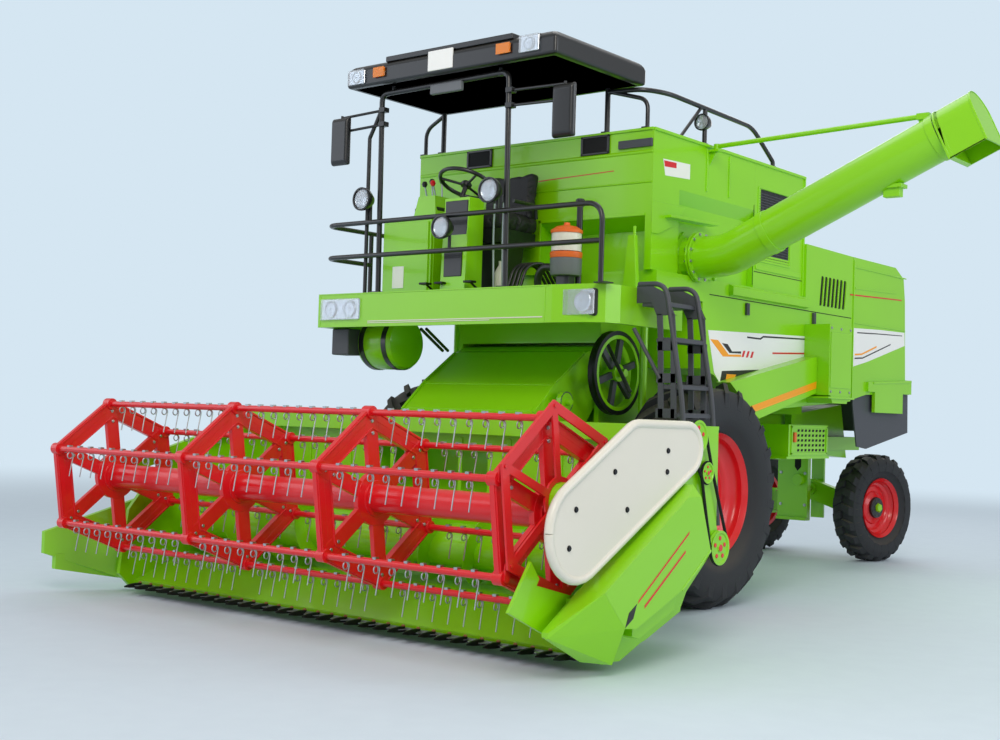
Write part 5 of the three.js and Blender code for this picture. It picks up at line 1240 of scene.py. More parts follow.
        # Painted shade: near-black panes stand for the dark inside of the tank behind its windows.
        for x in (-0.462, 0.58):
            glass.box((x - 0.105, x + 0.105), (y - 0.008, y - 0.002), (3.1, 3.21))
        glass.piece("tank_window_shade", SHADOW, "machine", 0.0025)
        rims = Solid()
        for x in (-0.462, 0.58):
            for a, b in (((x - 0.12, x + 0.12), (3.205, 3.222)), ((x - 0.12, x + 0.12), (3.088, 3.105)),
                         ((x - 0.12, x - 0.1), (3.09, 3.22)), ((x + 0.1, x + 0.12), (3.09, 3.22))):
                rims.box(a, (y - 0.014, y), b)
        rims.piece("tank_window_rims", BLACK, "machine", 0.004)
        folds = Solid()
        folds.taper([(-1.05, y, 3.06), (1.05, y, 3.06), (1.05, y, 3.09), (-1.05, y, 3.09)],
                    [(-1.05, y - 0.008, 3.072), (1.05, y - 0.008, 3.072), (1.05, y - 0.008, 3.078),
                     (-1.05, y - 0.008, 3.078)])
        folds.taper([(-0.98, y, 2.86), (1.05, y, 2.86), (1.05, y, 2.875), (-0.98, y, 2.875)],
                    [(-0.98, y - 0.006, 2.865), (1.05, y - 0.006, 2.865), (1.05, y - 0.006, 2.87),
                     (-0.98, y - 0.006, 2.87)])
        folds.box((-1.055, 1.055), (y - 0.012, y), (3.218, 3.236))
        folds.box((0.11, 0.13), (y - 0.01, y), (2.29, 2.66))
        folds.box((0.11, 1.0), (y - 0.01, y), (2.64, 2.66))
        folds.box((-1.0, 0.1), (y - 0.006, y), (2.33, 2.35))
        folds.piece("tank_front_folds", GREEN, "machine", 0.003)
        film = Solid().prism([(0.09, 2.942), (0.738, 2.961), (0.738, 2.967), (0.09, 2.948)], Axis.Y,
                             (y - 0.001, y))
        film.piece("tank_front_film", FILM_RED, "machine")
        tag = Solid().prism([(-0.37, 3.04), (-0.02, 3.055), (-0.02, 2.95), (-0.34, 2.93)], Axis.X,
                            (self.tank_side, self.tank_side + 0.001))
        tag.piece("tank_side_tag", PANEL_WHITE, "machine")
        edge = Solid().prism([(-0.36, 3.03), (-0.2, 3.037), (-0.2, 3.0), (-0.35, 2.99)], Axis.X,
                             (self.tank_side, self.tank_side + 0.0016))
        edge.piece("tank_side_tag_patch", FILM_RED, "machine")

    def _latches(self) -> None:
        """Set the latches, seams and rims of the tank and covers."""
        made = Solid()
        x = self.cover_side
        made.box((0.78, 1.05), (-0.512, -0.4915), (3.105, 3.16))
        for y, z in ((0.78, 2.12), (1.87, 2.13), (2.3, 2.0)):
            made.box((x, x + 0.02), (y - 0.02, y + 0.02), (z - 0.06, z + 0.03))
            made.rod((x + 0.018, y, z - 0.05), (x + 0.018, y, z + 0.02), 0.008)
        made.piece("cover_latches", CHARCOAL, "machine", 0.003)
        seams = Solid()
        x += 0.0004
        for y0, y1, z0, z1 in ((1.905, 1.911, 1.5, 2.17), (0.24, 2.58, 2.166, 2.172)):
            seams.box((x, x + 0.0012), (y0, y1), (z0, z1))
        side = self.tank_side
        seams.box((side, side + 0.0012), (0.905, 0.911), (2.3, 2.9))
        seams.box((side, side + 0.0012), (0.93, 1.72), (2.4, 2.405))
        seams.piece("cover_seams", SHADOW, "machine")
        rims = Solid()
        rims.box((self.tank_side - 0.005, self.tank_side + 0.012), (-0.49, 1.735), (3.215, 3.236))
        rims.box((-self.tank_side - 0.012, -self.tank_side + 0.005), (-0.49, 1.735), (3.215, 3.236))
        rims.box((self.tank_side - 0.004, self.tank_side + 0.01), (1.715, 1.735), (2.28, 3.22))
        for y in (0.2, 0.52):
            rims.box((self.tank_side - 0.004, self.tank_side + 0.008), (y, y + 0.016), (2.9, 3.2))
        rims.piece("tank_rims", GREEN, "machine", 0.003)
        side_panel = Solid()
        side_panel.prism([(0.9, 2.58), (0.9, 2.76), (0.98, 2.76), (1.0, 2.46), (1.68, 2.46), (1.68, 2.42),
                          (0.95, 2.42)],
                         Axis.X, (side - 0.004, side + 0.008))
        side_panel.piece("engine_cover_frame", GREEN, "machine", 0.003)

    def _flange(self) -> None:
        """Set the nuts and the small hood of the discharge flange."""
        x = 1.107
        bolts = [(x - 0.02, 0.05 + 0.158 * math.cos(a), 2.41 + 0.158 * math.sin(a))
                 for a in (math.radians(30 * i + 15) for i in range(12))]
        Solid().hexes(bolts, Axis.X, 0.009, -0.008).piece("flange_nuts", STEEL, "machine")
        hood = Solid().prism([(-0.34, 2.64), (-0.34, 2.66), (0.3, 2.68), (0.3, 2.66)], Axis.X, (1.03, 1.115))
        hood.prism([(-0.5, 2.52), (-0.5, 2.74), (-0.08, 2.74), (-0.22, 2.6), (-0.42, 2.52)], Axis.X,
                   (1.056, 1.063))
        hood.piece("flange_hood", GREEN, "machine", 0.003)

    def _hood(self) -> None:
        """Dress the rear hood, its lamps and blank plate, and the elevator's lid."""
        h = self.hood_side
        made = Solid()
        for z in (2.13, 2.6):
            made.prism([(2.62, z), (2.62, z + 0.012), (3.7, z + 0.012), (3.71, z)], Axis.X, (h, h + 0.007))
        made.prism([(2.61, 1.5), (2.61, 2.66), (2.625, 2.66), (2.625, 1.5)], Axis.X, (h, h + 0.006))
        made.prism([(3.0, 1.63), (3.0, 1.65), (3.82, 1.685), (3.82, 1.665)], Axis.X, (h + 0.024, h + 0.03))
        made.prism([(2.64, 2.42), (3.5, 2.45), (3.5, 2.47), (2.64, 2.44)], Axis.X, (h, h + 0.005))
        made.piece("hood_ribs", GREEN, "machine", 0.003)
        stripe = Solid().prism([(2.55, 2.372), (3.62, 2.41), (3.62, 2.40), (2.55, 2.36)], Axis.X,
                               (h, h + 0.001))
        stripe.piece("hood_pinstripe", FILM_RED, "machine")
        lamps = Solid()
        for side in (1, -1):
            x = side * 0.93
            lamps.box((x - 0.07, x + 0.07), (3.742, 3.765), (1.95, 2.05))
        lamps.piece("tail_lamps", RED, "machine", 0.006)
        Solid().box((-0.26, 0.26), (3.742, 3.748), (1.95, 2.06)).piece("blank_number_plate", PANEL_WHITE,
                                                                       "machine", 0.002)
        bolts = [(1.3, y, z) for y in (1.76, 1.93, 2.1) for z in (1.53, 2.03)]
        Solid().hexes(bolts, Axis.X, 0.009, 0.008).piece("elevator_bolts", STEEL, "machine")
        lid = Solid().box((1.3, 1.306), (1.75, 2.11), (1.56, 2.0))
        lid.box((1.083, 1.32), (1.69, 2.16), (1.475, 1.49))
        lid.piece("elevator_lid", GREEN, "machine", 0.003)

    def _underside(self) -> None:
        """Dress the battery box and the axle hanger."""
        slot_shade, face = Solid(), 0.9305
        # Painted shade: a near-black mark in each slot of the battery box stands for the shade inside it.
        for i in range(8):
            for j in range(5):
                y, z = 1.95 + i * 0.065, 1.045 + j * 0.04
                slot_shade.prism([(y, z), (y + 0.035, z), (y + 0.043, z + 0.02), (y + 0.008, z + 0.02)], Axis.X,
                            (face, face + 0.001))
        slot_shade.piece("battery_box_slot_shade", SHADOW, "machine")
        Solid().box((0.93, 0.946), (1.875, 1.915), (1.12, 1.2)).piece("battery_box_latch", ORANGE,
                                                                      "machine", 0.004)
        frame_bars = Solid()
        for z in (1.025, 1.245):
            frame_bars.box((0.925, 0.938), (1.84, 2.49), (z - 0.01, z + 0.01))
        for y in (1.85, 2.48):
            frame_bars.box((0.925, 0.938), (y - 0.01, y + 0.01), (1.02, 1.25))
        frame_bars.piece("battery_box_frame", GREEN, "machine", 0.002)
        face = 3.726
        # Painted shade: a near-black hexagon on the hanger's face stands for the shade in its hole.
        Solid().prism([(0.02, 0.93), (0.05, 0.97), (0.085, 0.93), (0.085, 0.86), (0.05, 0.82),
                       (0.02, 0.86)], Axis.Y,
                      (face - 0.002, face - 0.0002)).piece("hanger_hole_shade", SHADOW, "machine")
        boss = Solid().rod((0.07, face, 0.74), (0.07, face - 0.045, 0.74), 0.055, 32)
        boss.box((-0.155, 0.155), (face - 0.03, face), (0.355, 0.385))
        boss.piece("hanger_boss", GREEN, "machine", 0.004)
        Solid().hexes([(x, face, z) for x in (-0.12, 0.13) for z in (0.98, 0.8, 0.5)], Axis.Y, 0.012,
                      -0.012).piece(
            "hanger_bolts", STEEL, "machine")


def groove(radius: float, width: float) -> list[Pair]:
    """Profile of a V-belt pulley with a hub, as (radius, along)."""
    w = width / 2
    return [(0.0, -w), (radius * 0.24, -w), (radius * 0.26, -w * 0.5), (radius * 0.8, -w * 0.4),
            (radius * 0.86, -w),
            (radius, -w), (radius * 0.92, -w * 0.2), (radius * 0.92, w * 0.2), (radius, w),
            (radius * 0.86, w),
            (radius * 0.8, w * 0.4), (radius * 0.26, w * 0.5), (radius * 0.24, w), (0.0, w)]


def belt_path(pulleys: list[tuple[float, float, float]], x: float) -> list[Vector]:
    """A closed belt round pulleys of (y, z, radius), drawn as a path that meets itself."""
    outline = hull(pulleys, 28)
    path = [Vector((x, y, z)) for y, z in outline]
    return [*path, path[0]]


# ------------ discharge auger


@dataclass
class Discharge:
    """Outlet tube, elbow, spout, stay and their trim."""

    y: float = 0.05
    low: float = 2.41
    flange: float = 1.11
    elbow: float = 1.33
    end: Pair = (2.817, 3.083)

    def build(self) -> None:
        """Build the tube and spout in place of the plain ones."""
        y, body = self.y, "discharge"
        tube = Solid()
        route = rounded_path([(self.flange + 0.003, y, self.low), (self.elbow, y, self.low),
                              (self.end[0], y, self.end[1])],
                             0.12, 8)
        tube.tube(route, 0.145, 48)
        ahead = Vector((1, 0, 0))
        tube.turned([(0.14, 0.003), (0.175, 0.003), (0.175, 0.019), (0.14, 0.019)],
                    (self.flange, y, self.low), ahead, 48)
        tube.piece("discharge_tube_skin", GREEN, body, 0.002, ("discharge_tube",))
        nuts = [(self.flange + 0.019, y + 0.16 * math.cos(a), self.low + 0.16 * math.sin(a))
                for a in (math.radians(30 * i + 15) for i in range(12))]
        Solid().hexes(nuts, Axis.X, 0.009, 0.009).piece("discharge_bolts", STEEL, body)
        hinge = Solid().box((1.113, 1.127), (0.11, 0.25), (2.31, 2.51))
        hinge.rod((1.11, 0.25, 2.296), (1.11, 0.25, 2.524), 0.018)
        hinge.rod((1.11, 0.25, 2.262), (1.11, 0.25, 2.558), 0.009)
        hinge.piece("discharge_hinge", GREEN, body, 0.002)
        self._spout(body)
        rise = math.atan2(self.end[1] - self.low, self.end[0] - self.elbow)
        self._trim(body, rise)

    def _spout(self, body: str) -> None:
        """Sheet the arched spout at the end of the tube.

        Args:
            body: the body that carries it.
        """
        reach = math.dist((self.elbow, self.low), self.end)
        run, rise = (self.end[0] - self.elbow) / reach, (self.end[1] - self.low) / reach

        def place(u: float, w: float, v: float) -> Vector:
            """A point of the spout from its own (u, w, v): along, across and up."""
            return Vector((self.elbow + u * run - v * rise, self.y + w, self.low + u * rise + v * run))

        def arch(radius: float) -> list[Pair]:
            """Section of the spout: half a circle with two straight legs."""
            bend = [(radius * math.cos(a),
                     radius * math.sin(a)) for a in (i * math.pi / 24 for i in range(25))]
            return [(radius, -0.207), *bend, (-radius, -0.207)]

        made = Solid()
        sheet = arch(0.153) + arch(0.146)[::-1]
        for outline, start, end in ((sheet, 1.66, 1.91), (arch(0.153), 1.66, 1.69),
                                    (arch(0.153), 1.902, 1.91)):
            made.loft([[place(u, w, v) for w, v in outline] for u in (start, end)])
        for u in (1.655, 1.9):
            bead = arch(0.1565) + arch(0.152)[::-1]
            made.loft([[place(u + step, w, v) for w, v in bead] for step in (0.0, 0.014)])
        for w in (-0.153, 0.147):
            made.loft([[place(u, w + a, v) for a, v in ((0.0, -0.207), (0.006, -0.207), (0.006, -0.197),
                                                        (0.0, -0.197))]
                       for u in (1.66, 1.91)])
        made.piece("discharge_spout_sheet", GREEN, body, 0.002)

    def _trim(self, body: str, rise: float) -> None:
        """Set the collars, the lug and the stay.

        Args:
            body: the body that carries them.
            rise: slope of the tube, radians.
        """
        made = Solid()
        along = Vector((math.cos(rise), 0, math.sin(rise)))
        for reach in (0.35, 1.62):
            centre = Vector((self.elbow, self.y, self.low)) + along * reach
            made.turned([(0.144, -0.028), (0.152, -0.028), (0.152, 0.028), (0.144, 0.028)], centre, along, 48)
        lug = Vector((self.elbow, self.y, self.low)) + along * 1.3
        made.box((lug.x - 0.06, lug.x + 0.05), (self.y - 0.03, self.y + 0.03), (lug.z - 0.22, lug.z - 0.12))
        made.box((lug.x - 0.1, lug.x + 0.07), (self.y - 0.05, self.y + 0.05), (lug.z - 0.165, lug.z - 0.14))
        made.box((2.67, 2.73), (self.y - 0.008, self.y + 0.008), (3.15, 3.205))
        made.piece("discharge_straps", GREEN, body, 0.003)
        stay = Solid().rod((1.11, 0.25, 3.222), (2.7, 0.05, 3.222), 0.017)
        stay.rod((1.11, 0.25, 3.1983), (1.11, 0.25, 3.238), 0.024)
        stay.box((2.66, 2.74), (self.y - 0.02, self.y + 0.02), (3.2, 3.24))
        stay.piece("stay_tube", GREEN, body, replaces=("stay_rod",))
        log.info("discharge auger built")


# ------------ header


@dataclass
class Table:
    """Grain table: auger, knife, guards, covers, drives and lift rams."""

    right: float = -1.72
    left: float = 2.12
    screw: Pair = (-1.975, 0.49)
    screw_radii: Pair = (0.13, 0.225)
    pitch: float = 0.35
    guards: int = 32
    knife: tuple[float, float, float] = (-1.64, 2.01, -2.5)

    def build(self) -> None:
        """Dress the table."""
        self._screw()
        self._knife()
        self._shield()
        self._side_cover()
        self._drives()
        self._rams()
        log.info("table built")

    def _screw(self) -> None:
        """Build the auger's tube, flights and fingers."""
        y, z = self.screw
        made = Solid()
        core, outer = self.screw_radii
        made.rod((self.right + 0.007, y, z), (self.left - 0.007, y, z), core, 40)
        for start, end, hand in ((self.right + 0.02, -0.42, 1), (0.42, self.left - 0.02, -1)):
            turns = (end - start) / self.pitch
            count = int(turns * 28)
            rings = []
            for i in range(count + 1):
                t = i / count
                a = hand * 2 * math.pi * turns * t
                x = start + (end - start) * t
                way = Vector((0, math.cos(a), math.sin(a)))
                rings.append([Vector((x + dx, y, z)) + way * r
                              for r, dx in ((core - 0.003, -0.004), (outer, -0.0025), (outer, 0.0025),
                                            (core - 0.003, 0.004))])
            made.loft(rings)
        made.piece("auger_flights", GREEN, "auger", replaces=("header_auger",))
        fingers = Solid()
        for i in range(12):
            x = -0.38 + 0.069 * i
            a = i * 2.4
            fingers.rod((x, y, z), (x, y + 0.21 * math.cos(a), z + 0.21 * math.sin(a)), 0.008, 10)
        fingers.piece("auger_fingers", STEEL, "auger")

    def _knife(self) -> None:
        """Build the knife's sections and guards."""
        x0, x1, y = self.knife
        pitch = (x1 - x0) / self.guards
        points, knobs, blades = Solid(), Solid(), Solid()
        points.box((x0, x1), (y - 0.07, y - 0.0005), (0.05, 0.061))
        for i in range(self.guards):
            x = x0 + pitch * (i + 0.5)
            rings = []
            for d, w, low, high in ((0.045, 0.02, 0.048, 0.078), (0.09, 0.017, 0.049, 0.08),
                                    (0.14, 0.01, 0.052, 0.076), (0.177, 0.003, 0.058, 0.066)):
                rings.append([Vector((x + w * u, y - d, z)) for u, z in ((-1, low), (1, low), (0.6, high),
                                                                         (-0.6, high))])
            points.loft(rings)
            knobs.turned([(0.0, 0.0), (0.011, 0.0), (0.012, 0.006), (0.006, 0.011), (0.0, 0.012)],
                         (x, y - 0.05, 0.077), Vector((0, 0, 1)), 14)
        cuts = 48
        step = (x1 - x0 - 0.08) / cuts
        for i in range(cuts):
            x = x0 + 0.04 + step * i
            blades.prism([(x + 0.002, y - 0.05), (x + step - 0.002, y - 0.05),
                          (x + step / 2 + 0.008, y - 0.105),
                          (x + step / 2 - 0.008, y - 0.105)], Axis.Z, (0.0625, 0.066))
        blades.box((x0 + 0.04, x1 - 0.04), (y - 0.052, y - 0.026), (0.0612, 0.071))
        points.piece("knife_guards", DARK_STEEL, "header", 0.0015, ("cutter_bar",))
        knobs.piece("guard_bolts", BRONZE, "header")
        blades.piece("knife_sections", STEEL, "header")

    def _shield(self) -> None:
        """Build the white belt shield with its rim."""
        discs = [(-2.862, 0.728, 0.256), (-1.885, 1.122, 0.15), (-2.36, 1.075, 0.2)]
        made = Solid().prism(hull([(y, z, r - 0.012) for y, z, r in discs], 64), Axis.X, (2.192, 2.227))
        for y, z in ((-2.24, 0.86), (-1.86, 1.1)):
            made.rod((2.1503, y, z), (2.195, y, z), 0.022)
        made.tube(belt_path([(y, z, r - 0.0235) for y, z, r in discs], 2.215), 0.0235, 12)
        made.piece("belt_shield", WHITE, "header", 0.004, ("belt_guard",))
        bolts = [(2.227, y, z) for y, z in ((-2.093, 1.114), (-2.097, 1.004), (-2.581, 1.011),
                                            (-2.902, 0.836), (-2.464, 0.82), (-2.95, 0.654))]
        Solid().hexes(bolts, Axis.X, 0.012, 0.008).piece("belt_shield_bolts", DARK_STEEL, "header")

    def _side_cover(self) -> None:
        """Lay the side cover's films and flange, and the table's ribs."""
        x = 2.305
        films = (("cover_black", FILM_BLACK, [(-2.57, 0.25), (-2.5, 0.29), (-2.47, 0.36), (-2.54, 0.32)]),
                 ("cover_red", FILM_RED, [(-2.46, 0.36), (-1.99, 0.68), (-1.985, 0.695), (-2.455, 0.375)]),
                 ("cover_red_low", FILM_RED, [(-2.4, 0.33), (-2.02, 0.585), (-2.02, 0.598), (-2.4, 0.345)]))
        for name, finish, outline in films:
            Solid().prism(outline, Axis.X, (x, x + 0.0012)).piece(name, finish, "header")
        ribs = Solid()
        ribs.prism([(-2.04, 0.385), (-1.755, 0.577), (-1.762, 0.588), (-2.048, 0.397)], Axis.X,
                   (2.151, 2.309))
        ribs.piece("cover_flanges", GREEN, "header", 0.004)
        beam = Solid()
        beam.box((-1.75, 2.15), (-1.441, -1.434), (1.225, 1.2455))
        for x in (-1.5, -1.1, -0.7, -0.3, 0.3, 0.7, 1.1, 1.5, 1.9):
            beam.prism([(-1.5, 0.62), (-1.5, 1.12), (-1.507, 1.12), (-1.507, 0.62)], Axis.X,
                       (x - 0.015, x + 0.015))
        beam.piece("table_ribs", GREEN, "header", 0.002)

    def _drives(self) -> None:
        """Build the pulleys, their plate and belts."""
        x = 2.174
        wheels = [(-1.707, 1.186, 0.093), (-1.599, 0.988, 0.06), (-1.446, 0.567, 0.098)]
        discs, hubs, belts = Solid(), Solid(), Solid()
        for y, z, r in wheels:
            discs.turned(groove(r, 0.023), (x, y, z), Vector((1, 0, 0)), 48)
            for u, v in circle(r * 0.55, 5, 0.3):
                hubs.rod((x + 0.002, y + u, z + v), (x + 0.0085, y + u, z + v), r * 0.13, 14)
            hubs.rod((x - 0.022, y, z), (x + 0.014, y, z), r * 0.2, 20)
        discs.prism(hull([(y, z, 0.034) for y, z, _ in wheels]), Axis.X, (2.1503, 2.1603))
        discs.piece("header_pulleys", GREEN, "header", 0.001, ("header_drive",))
        hubs.piece("header_pulley_hubs", RED, "header", 0.001)
        for pair in (wheels[:2], wheels[1:]):
            belts.tube(belt_path([(y, z, r * 0.97) for y, z, r in pair], x), 0.009, 6)
        belts.piece("header_belts", SHADOW, "header")

    def _rams(self) -> None:
        """Build the skins of the lift rams."""
        base, eye = Vector((0, -0.215, 0.62)), Vector((0, -1.15, 0.69))
        way = (eye - base).normalized()
        barrels, rods = Solid(), Solid()
        for x in (-0.33, 0.33):
            shift = Vector((x, 0, 0))
            barrels.tube([base + shift - way * 0.03, base + shift + way * 0.56], 0.045, 28)
            barrels.tube([base + shift + way * 0.52, base + shift + way * 0.575], 0.052, 28)
            rods.tube([base + shift + way * 0.13, eye + shift], 0.029, 24)
        barrels.rod((-0.418, *base.yz), (0.418, *base.yz), 0.02)
        rods.rod((-0.375, *eye.yz), (0.375, *eye.yz), 0.042, 28)
        barrels.piece("ram_barrels_skin", GREEN, "ram_barrels", 0.002, ("lift_barrels",))
        rods.piece("ram_rods_skin", STEEL, "ram_rods", replaces=("lift_rods",))


@dataclass
class Reel:
    """Six-bar reel with spring tines and spiders, and bolts and a hub cap on the left arm."""

    axis: Pair = (-2.753, 0.795)
    radius: float = 0.476
    first: float = 82.0
    spiders: tuple[float, ...] = (-1.616, -0.369, 0.756, 1.961)
    spacing: float = 0.11

    def bars(self) -> list[Pair]:
        """Centres of the tine bars in (y, z)."""
        y, z = self.axis
        angles = [math.radians(self.first + 60 * i) for i in range(6)]
        return [(y - self.radius * math.cos(a), z + self.radius * math.sin(a)) for a in angles]

    def build(self) -> None:
        """Build the rotor, the six bars and their tines."""
        self._rotor()
        for i, (y, z) in enumerate(self.bars()):
            self._bar(i + 1, y, z)
        self._arms()
        log.info("reel built")

    def _rotor(self) -> None:
        """Build the reel's tube and spiders."""
        y, z = self.axis
        made = Solid()
        made.rod((self.spiders[0] - 0.02, y, z), (self.spiders[-1] + 0.02, y, z), 0.078, 40)
        made.rod((-1.696, y, z), (2.096, y, z), 0.025, 24)
        for x in self.spiders:
            self._spider(made, x)
        made.piece("reel_spiders", RED, "reel", 0.002, ("reel_rotor",))
        bolts = Solid()
        for x in self.spiders:
            for by, bz in self.bars():
                for share in (0.9, 0.76):
                    place = (x + 0.017, y + (by - y) * share, z + (bz - z) * share)
                    bolts.hexes([place], Axis.X, 0.008, 0.007)
        bolts.piece("reel_bolts", STEEL, "reel")

    def _spider(self, made: Solid, x: float) -> None:
        """Build one spider into a solid.

        Args:
            made: the solid it joins.
            x: where it stands.
        """
        y, z = self.axis
        bars = self.bars()

        def toward(i: int, share: float) -> Pair:
            """A point between the axis and a bar."""
            by, bz = bars[i % 6]
            return (y + (by - y) * share, z + (bz - z) * share)

        for i in range(6):
            made.strip(toward(i, 1.0), toward(i + 1, 1.0), 0.056, (x - 0.015, x + 0.015))
            made.strip(toward(i, 0.91), toward(i + 1, 0.91), 0.08, (x - 0.0145, x + 0.0145))
            made.strip(toward(i, 1.04), toward(i + 1, 1.04), 0.008, (x - 0.0215, x + 0.0215))
            made.strip(toward(i, 0.82), toward(i + 1, 0.82), 0.008, (x - 0.0205, x + 0.0205))
            made.strip(toward(i, 0.12), toward(i, 1.0), 0.088, (x - 0.0155, x + 0.0155))
            made.rod((x - 0.03, *bars[i]), (x + 0.03, *bars[i]), 0.037, 24)
        made.rod((x - 0.017, y, z), (x + 0.017, y, z), 0.15, 48)
        made.rod((x - 0.026, y, z), (x + 0.026, y, z), 0.1, 32)

    def _bar(self, number: int, y: float, z: float) -> None:
        """Build one tine bar with its tines.

        Args:
            number: the bar, from 1.
            y: its place along the machine.
            z: its height.
        """
        body = f"tine_{number}"
        bar = Solid()
        bar.rod((self.spiders[0] - 0.034, y, z), (1.996, y, z), 0.0185, 20)
        crank = [(v + y, u + z) for u, v in hull([(0.0, 0.0, 0.02), (0.062, 0.0, 0.015)], 20)]
        bar.prism(crank, Axis.X, (1.992, 2.002))
        bar.rod((1.992, y, z + 0.062), (2.03, y, z + 0.062), 0.009, 12)
        bar.piece(f"reel_bar_{number}", RED, body, replaces=(f"tine_bar_{number}",))
        tines, clips = Solid(), Solid()
        for a, b in zip(self.spiders, self.spiders[1:]):
            count = int((b - a - 0.12) / self.spacing)
            start = (a + b) / 2 - self.spacing * (count - 1) / 2
            for i in range(count):
                self._tine(tines, start + self.spacing * i, y, z)
                clips.box((start + self.spacing * i - 0.012, start + self.spacing * i + 0.012),
                          (y - 0.013, y + 0.013), (z + 0.014, z + 0.026))
        tines.piece(f"spring_tines_{number}", STEEL, body)
        clips.piece(f"tine_clips_{number}", STEEL, body)

    def _tine(self, made: Solid, x: float, y: float, z: float) -> None:
        """One spring tine: a coil of one turn under its bar, then a straight finger."""
        coil = 0.02
        turn = [Vector((x + 0.01 * t, y + coil * math.sin(2 * math.pi * t),
                        z - 0.017 - coil + coil * math.cos(2 * math.pi * t)))
                for t in (i / 14 for i in range(19))]
        finger = [Vector((x + 0.014, y + 0.006, z - 0.1)), Vector((x + 0.014, y - 0.006, z - 0.168))]
        made.tube(turn + finger, 0.0036, 6)

    def _arms(self) -> None:
        """Set the bolts and the hub cap on the left reel arm."""
        trim = Solid()
        trim.hexes([(2.1, y, z) for y, z in ((-2.7, 0.845), (-2.806, 0.745))], Axis.X, 0.012, 0.01)
        trim.turned([(0.0, 0.0), (0.045, 0.0), (0.045, 0.014), (0.02, 0.02), (0.0, 0.02)], (2.1, *self.axis),
                    Vector((1, 0, 0)), 28)
        trim.piece("reel_arm_bolts", STEEL, "reel_frame")


# ------------ feeder


@dataclass
class Feeder:
    """Drive pulley, idler and trim of the feeder house."""

    pivot: Pair = (-0.392, 1.583)

    def build(self) -> None:
        """Dress the feeder house."""
        y, z = self.pivot
        wheel, rim, spokes = Solid(), Solid(), Solid()
        ahead = Vector((1, 0, 0))
        wheel.rod((-0.69, y, z), (0.815, y, z), 0.0279, 24)
        wheel.turned([(0.0, -0.035), (0.06, -0.035), (0.06, 0.035), (0.0, 0.035)], (0.7275, y, z), ahead, 32)
        for i in range(6):
            a = math.radians(60 * i + 17)
            way = (math.cos(a), math.sin(a))
            spokes.strip((y + 0.05 * way[0], z + 0.05 * way[1]), (y + 0.245 * way[0], z + 0.245 * way[1]),
                         0.046,
                        (0.712, 0.742))
        wheel.turned([(0.235, -0.0275), (0.262, -0.0275), (0.262, 0.0275), (0.235, 0.0275)], (0.7275, y, z),
                     ahead, 64)
        spokes.piece("feeder_pulley_spokes", CHARCOAL, "machine", 0.002)
        wheel.piece("feeder_pulley", GREEN, "machine", 0.002, ("feeder_drive_pulley",))
        rim.turned([(0.26, -0.0275), (0.29, -0.0275), (0.28, 0.0), (0.29, 0.0275), (0.26, 0.0275)],
                   (0.7275, y, z), ahead, 64)
        rim.piece("feeder_pulley_tread", DARK_STEEL, "machine")
        idle = Solid().turned(groove(0.07, 0.04), (0.66, -0.88, 1.37), ahead, 36)
        idle.piece("feeder_idler", CHARCOAL, "header", 0.001)
        Solid().rod((0.6, -0.88, 1.37), (0.705, -0.88, 1.37), 0.024, 24).piece("feeder_idler_hub", GREEN,
                                                                               "header", 0.002)
        self._trim()
        log.info("feeder dressed")

    def _trim(self) -> None:
        """Build the feeder house's ribs and the rods under the deck."""
        ribs = Solid()
        for x in (-0.594, 0.574):
            ribs.taper([(x, -0.565, 1.712), (x + 0.02, -0.565, 1.712), (x + 0.02, -0.885, 1.494),
                        (x, -0.885, 1.494)],
                       [(x, -0.57, 1.722), (x + 0.02, -0.57, 1.722), (x + 0.02, -0.89, 1.504),
                        (x, -0.89, 1.504)])
            ribs.taper([(x, -0.889, 1.491), (x + 0.02, -0.889, 1.491), (x + 0.02, -1.113, 1.291),
                        (x, -1.113, 1.291)],
                       [(x, -0.895, 1.5), (x + 0.02, -0.895, 1.5), (x + 0.02, -1.12, 1.3), (x, -1.12, 1.3)])
        ribs.taper([(-0.59, -0.885, 1.489), (0.59, -0.885, 1.489), (0.59, -0.9, 1.477), (-0.59, -0.9, 1.477)],
                   [(-0.59, -0.889, 1.496), (0.59, -0.889, 1.496), (0.59, -0.905, 1.482),
                    (-0.59, -0.905, 1.482)])
        ribs.taper([(-0.55, -1.06, 1.332), (0.55, -1.06, 1.332), (0.55, -1.1, 1.297), (-0.55, -1.1, 1.297)],
                   [(-0.55, -1.065, 1.338), (0.55, -1.065, 1.338), (0.55, -1.105, 1.303),
                    (-0.55, -1.105, 1.303)])
        ribs.piece("feeder_ribs", GREEN, "header", 0.002)
        rods = Solid()
        for dx in (0.0, 0.05):
            rods.rod((-0.353 + dx, -1.2, 1.848), (-0.5 + dx, -0.8, 1.72), 0.011)
        rods.rod((0.66, -0.46, 1.845), (0.9, -0.46, 1.45), 0.014)
        rods.piece("under_deck_rods", BLACK, "machine")


# ------------ frame finishes and studio


@dataclass(frozen=True)
class Coat:
    """Which finish the CAD nodes that stay in view take."""

    plain: Finish = GREEN
    special: tuple[tuple[str, Finish], ...] = (
        ("seat_base", BLACK), ("tie_rod", BLACK), ("straw_deflector", CHARCOAL), ("engine_block", IRON),
        ("feathering_frame", RED), ("belt_guard", WHITE),
    )

    def dress(self) -> None:
        """Give every CAD node its finish."""
        chosen = dict(self.special)
        for name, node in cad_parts.items():
            finish = chosen.get(name, self.plain)
            node.data.materials.clear()
            node.data.materials.append(finish.material())


BACKDROP = "D5E6F2"


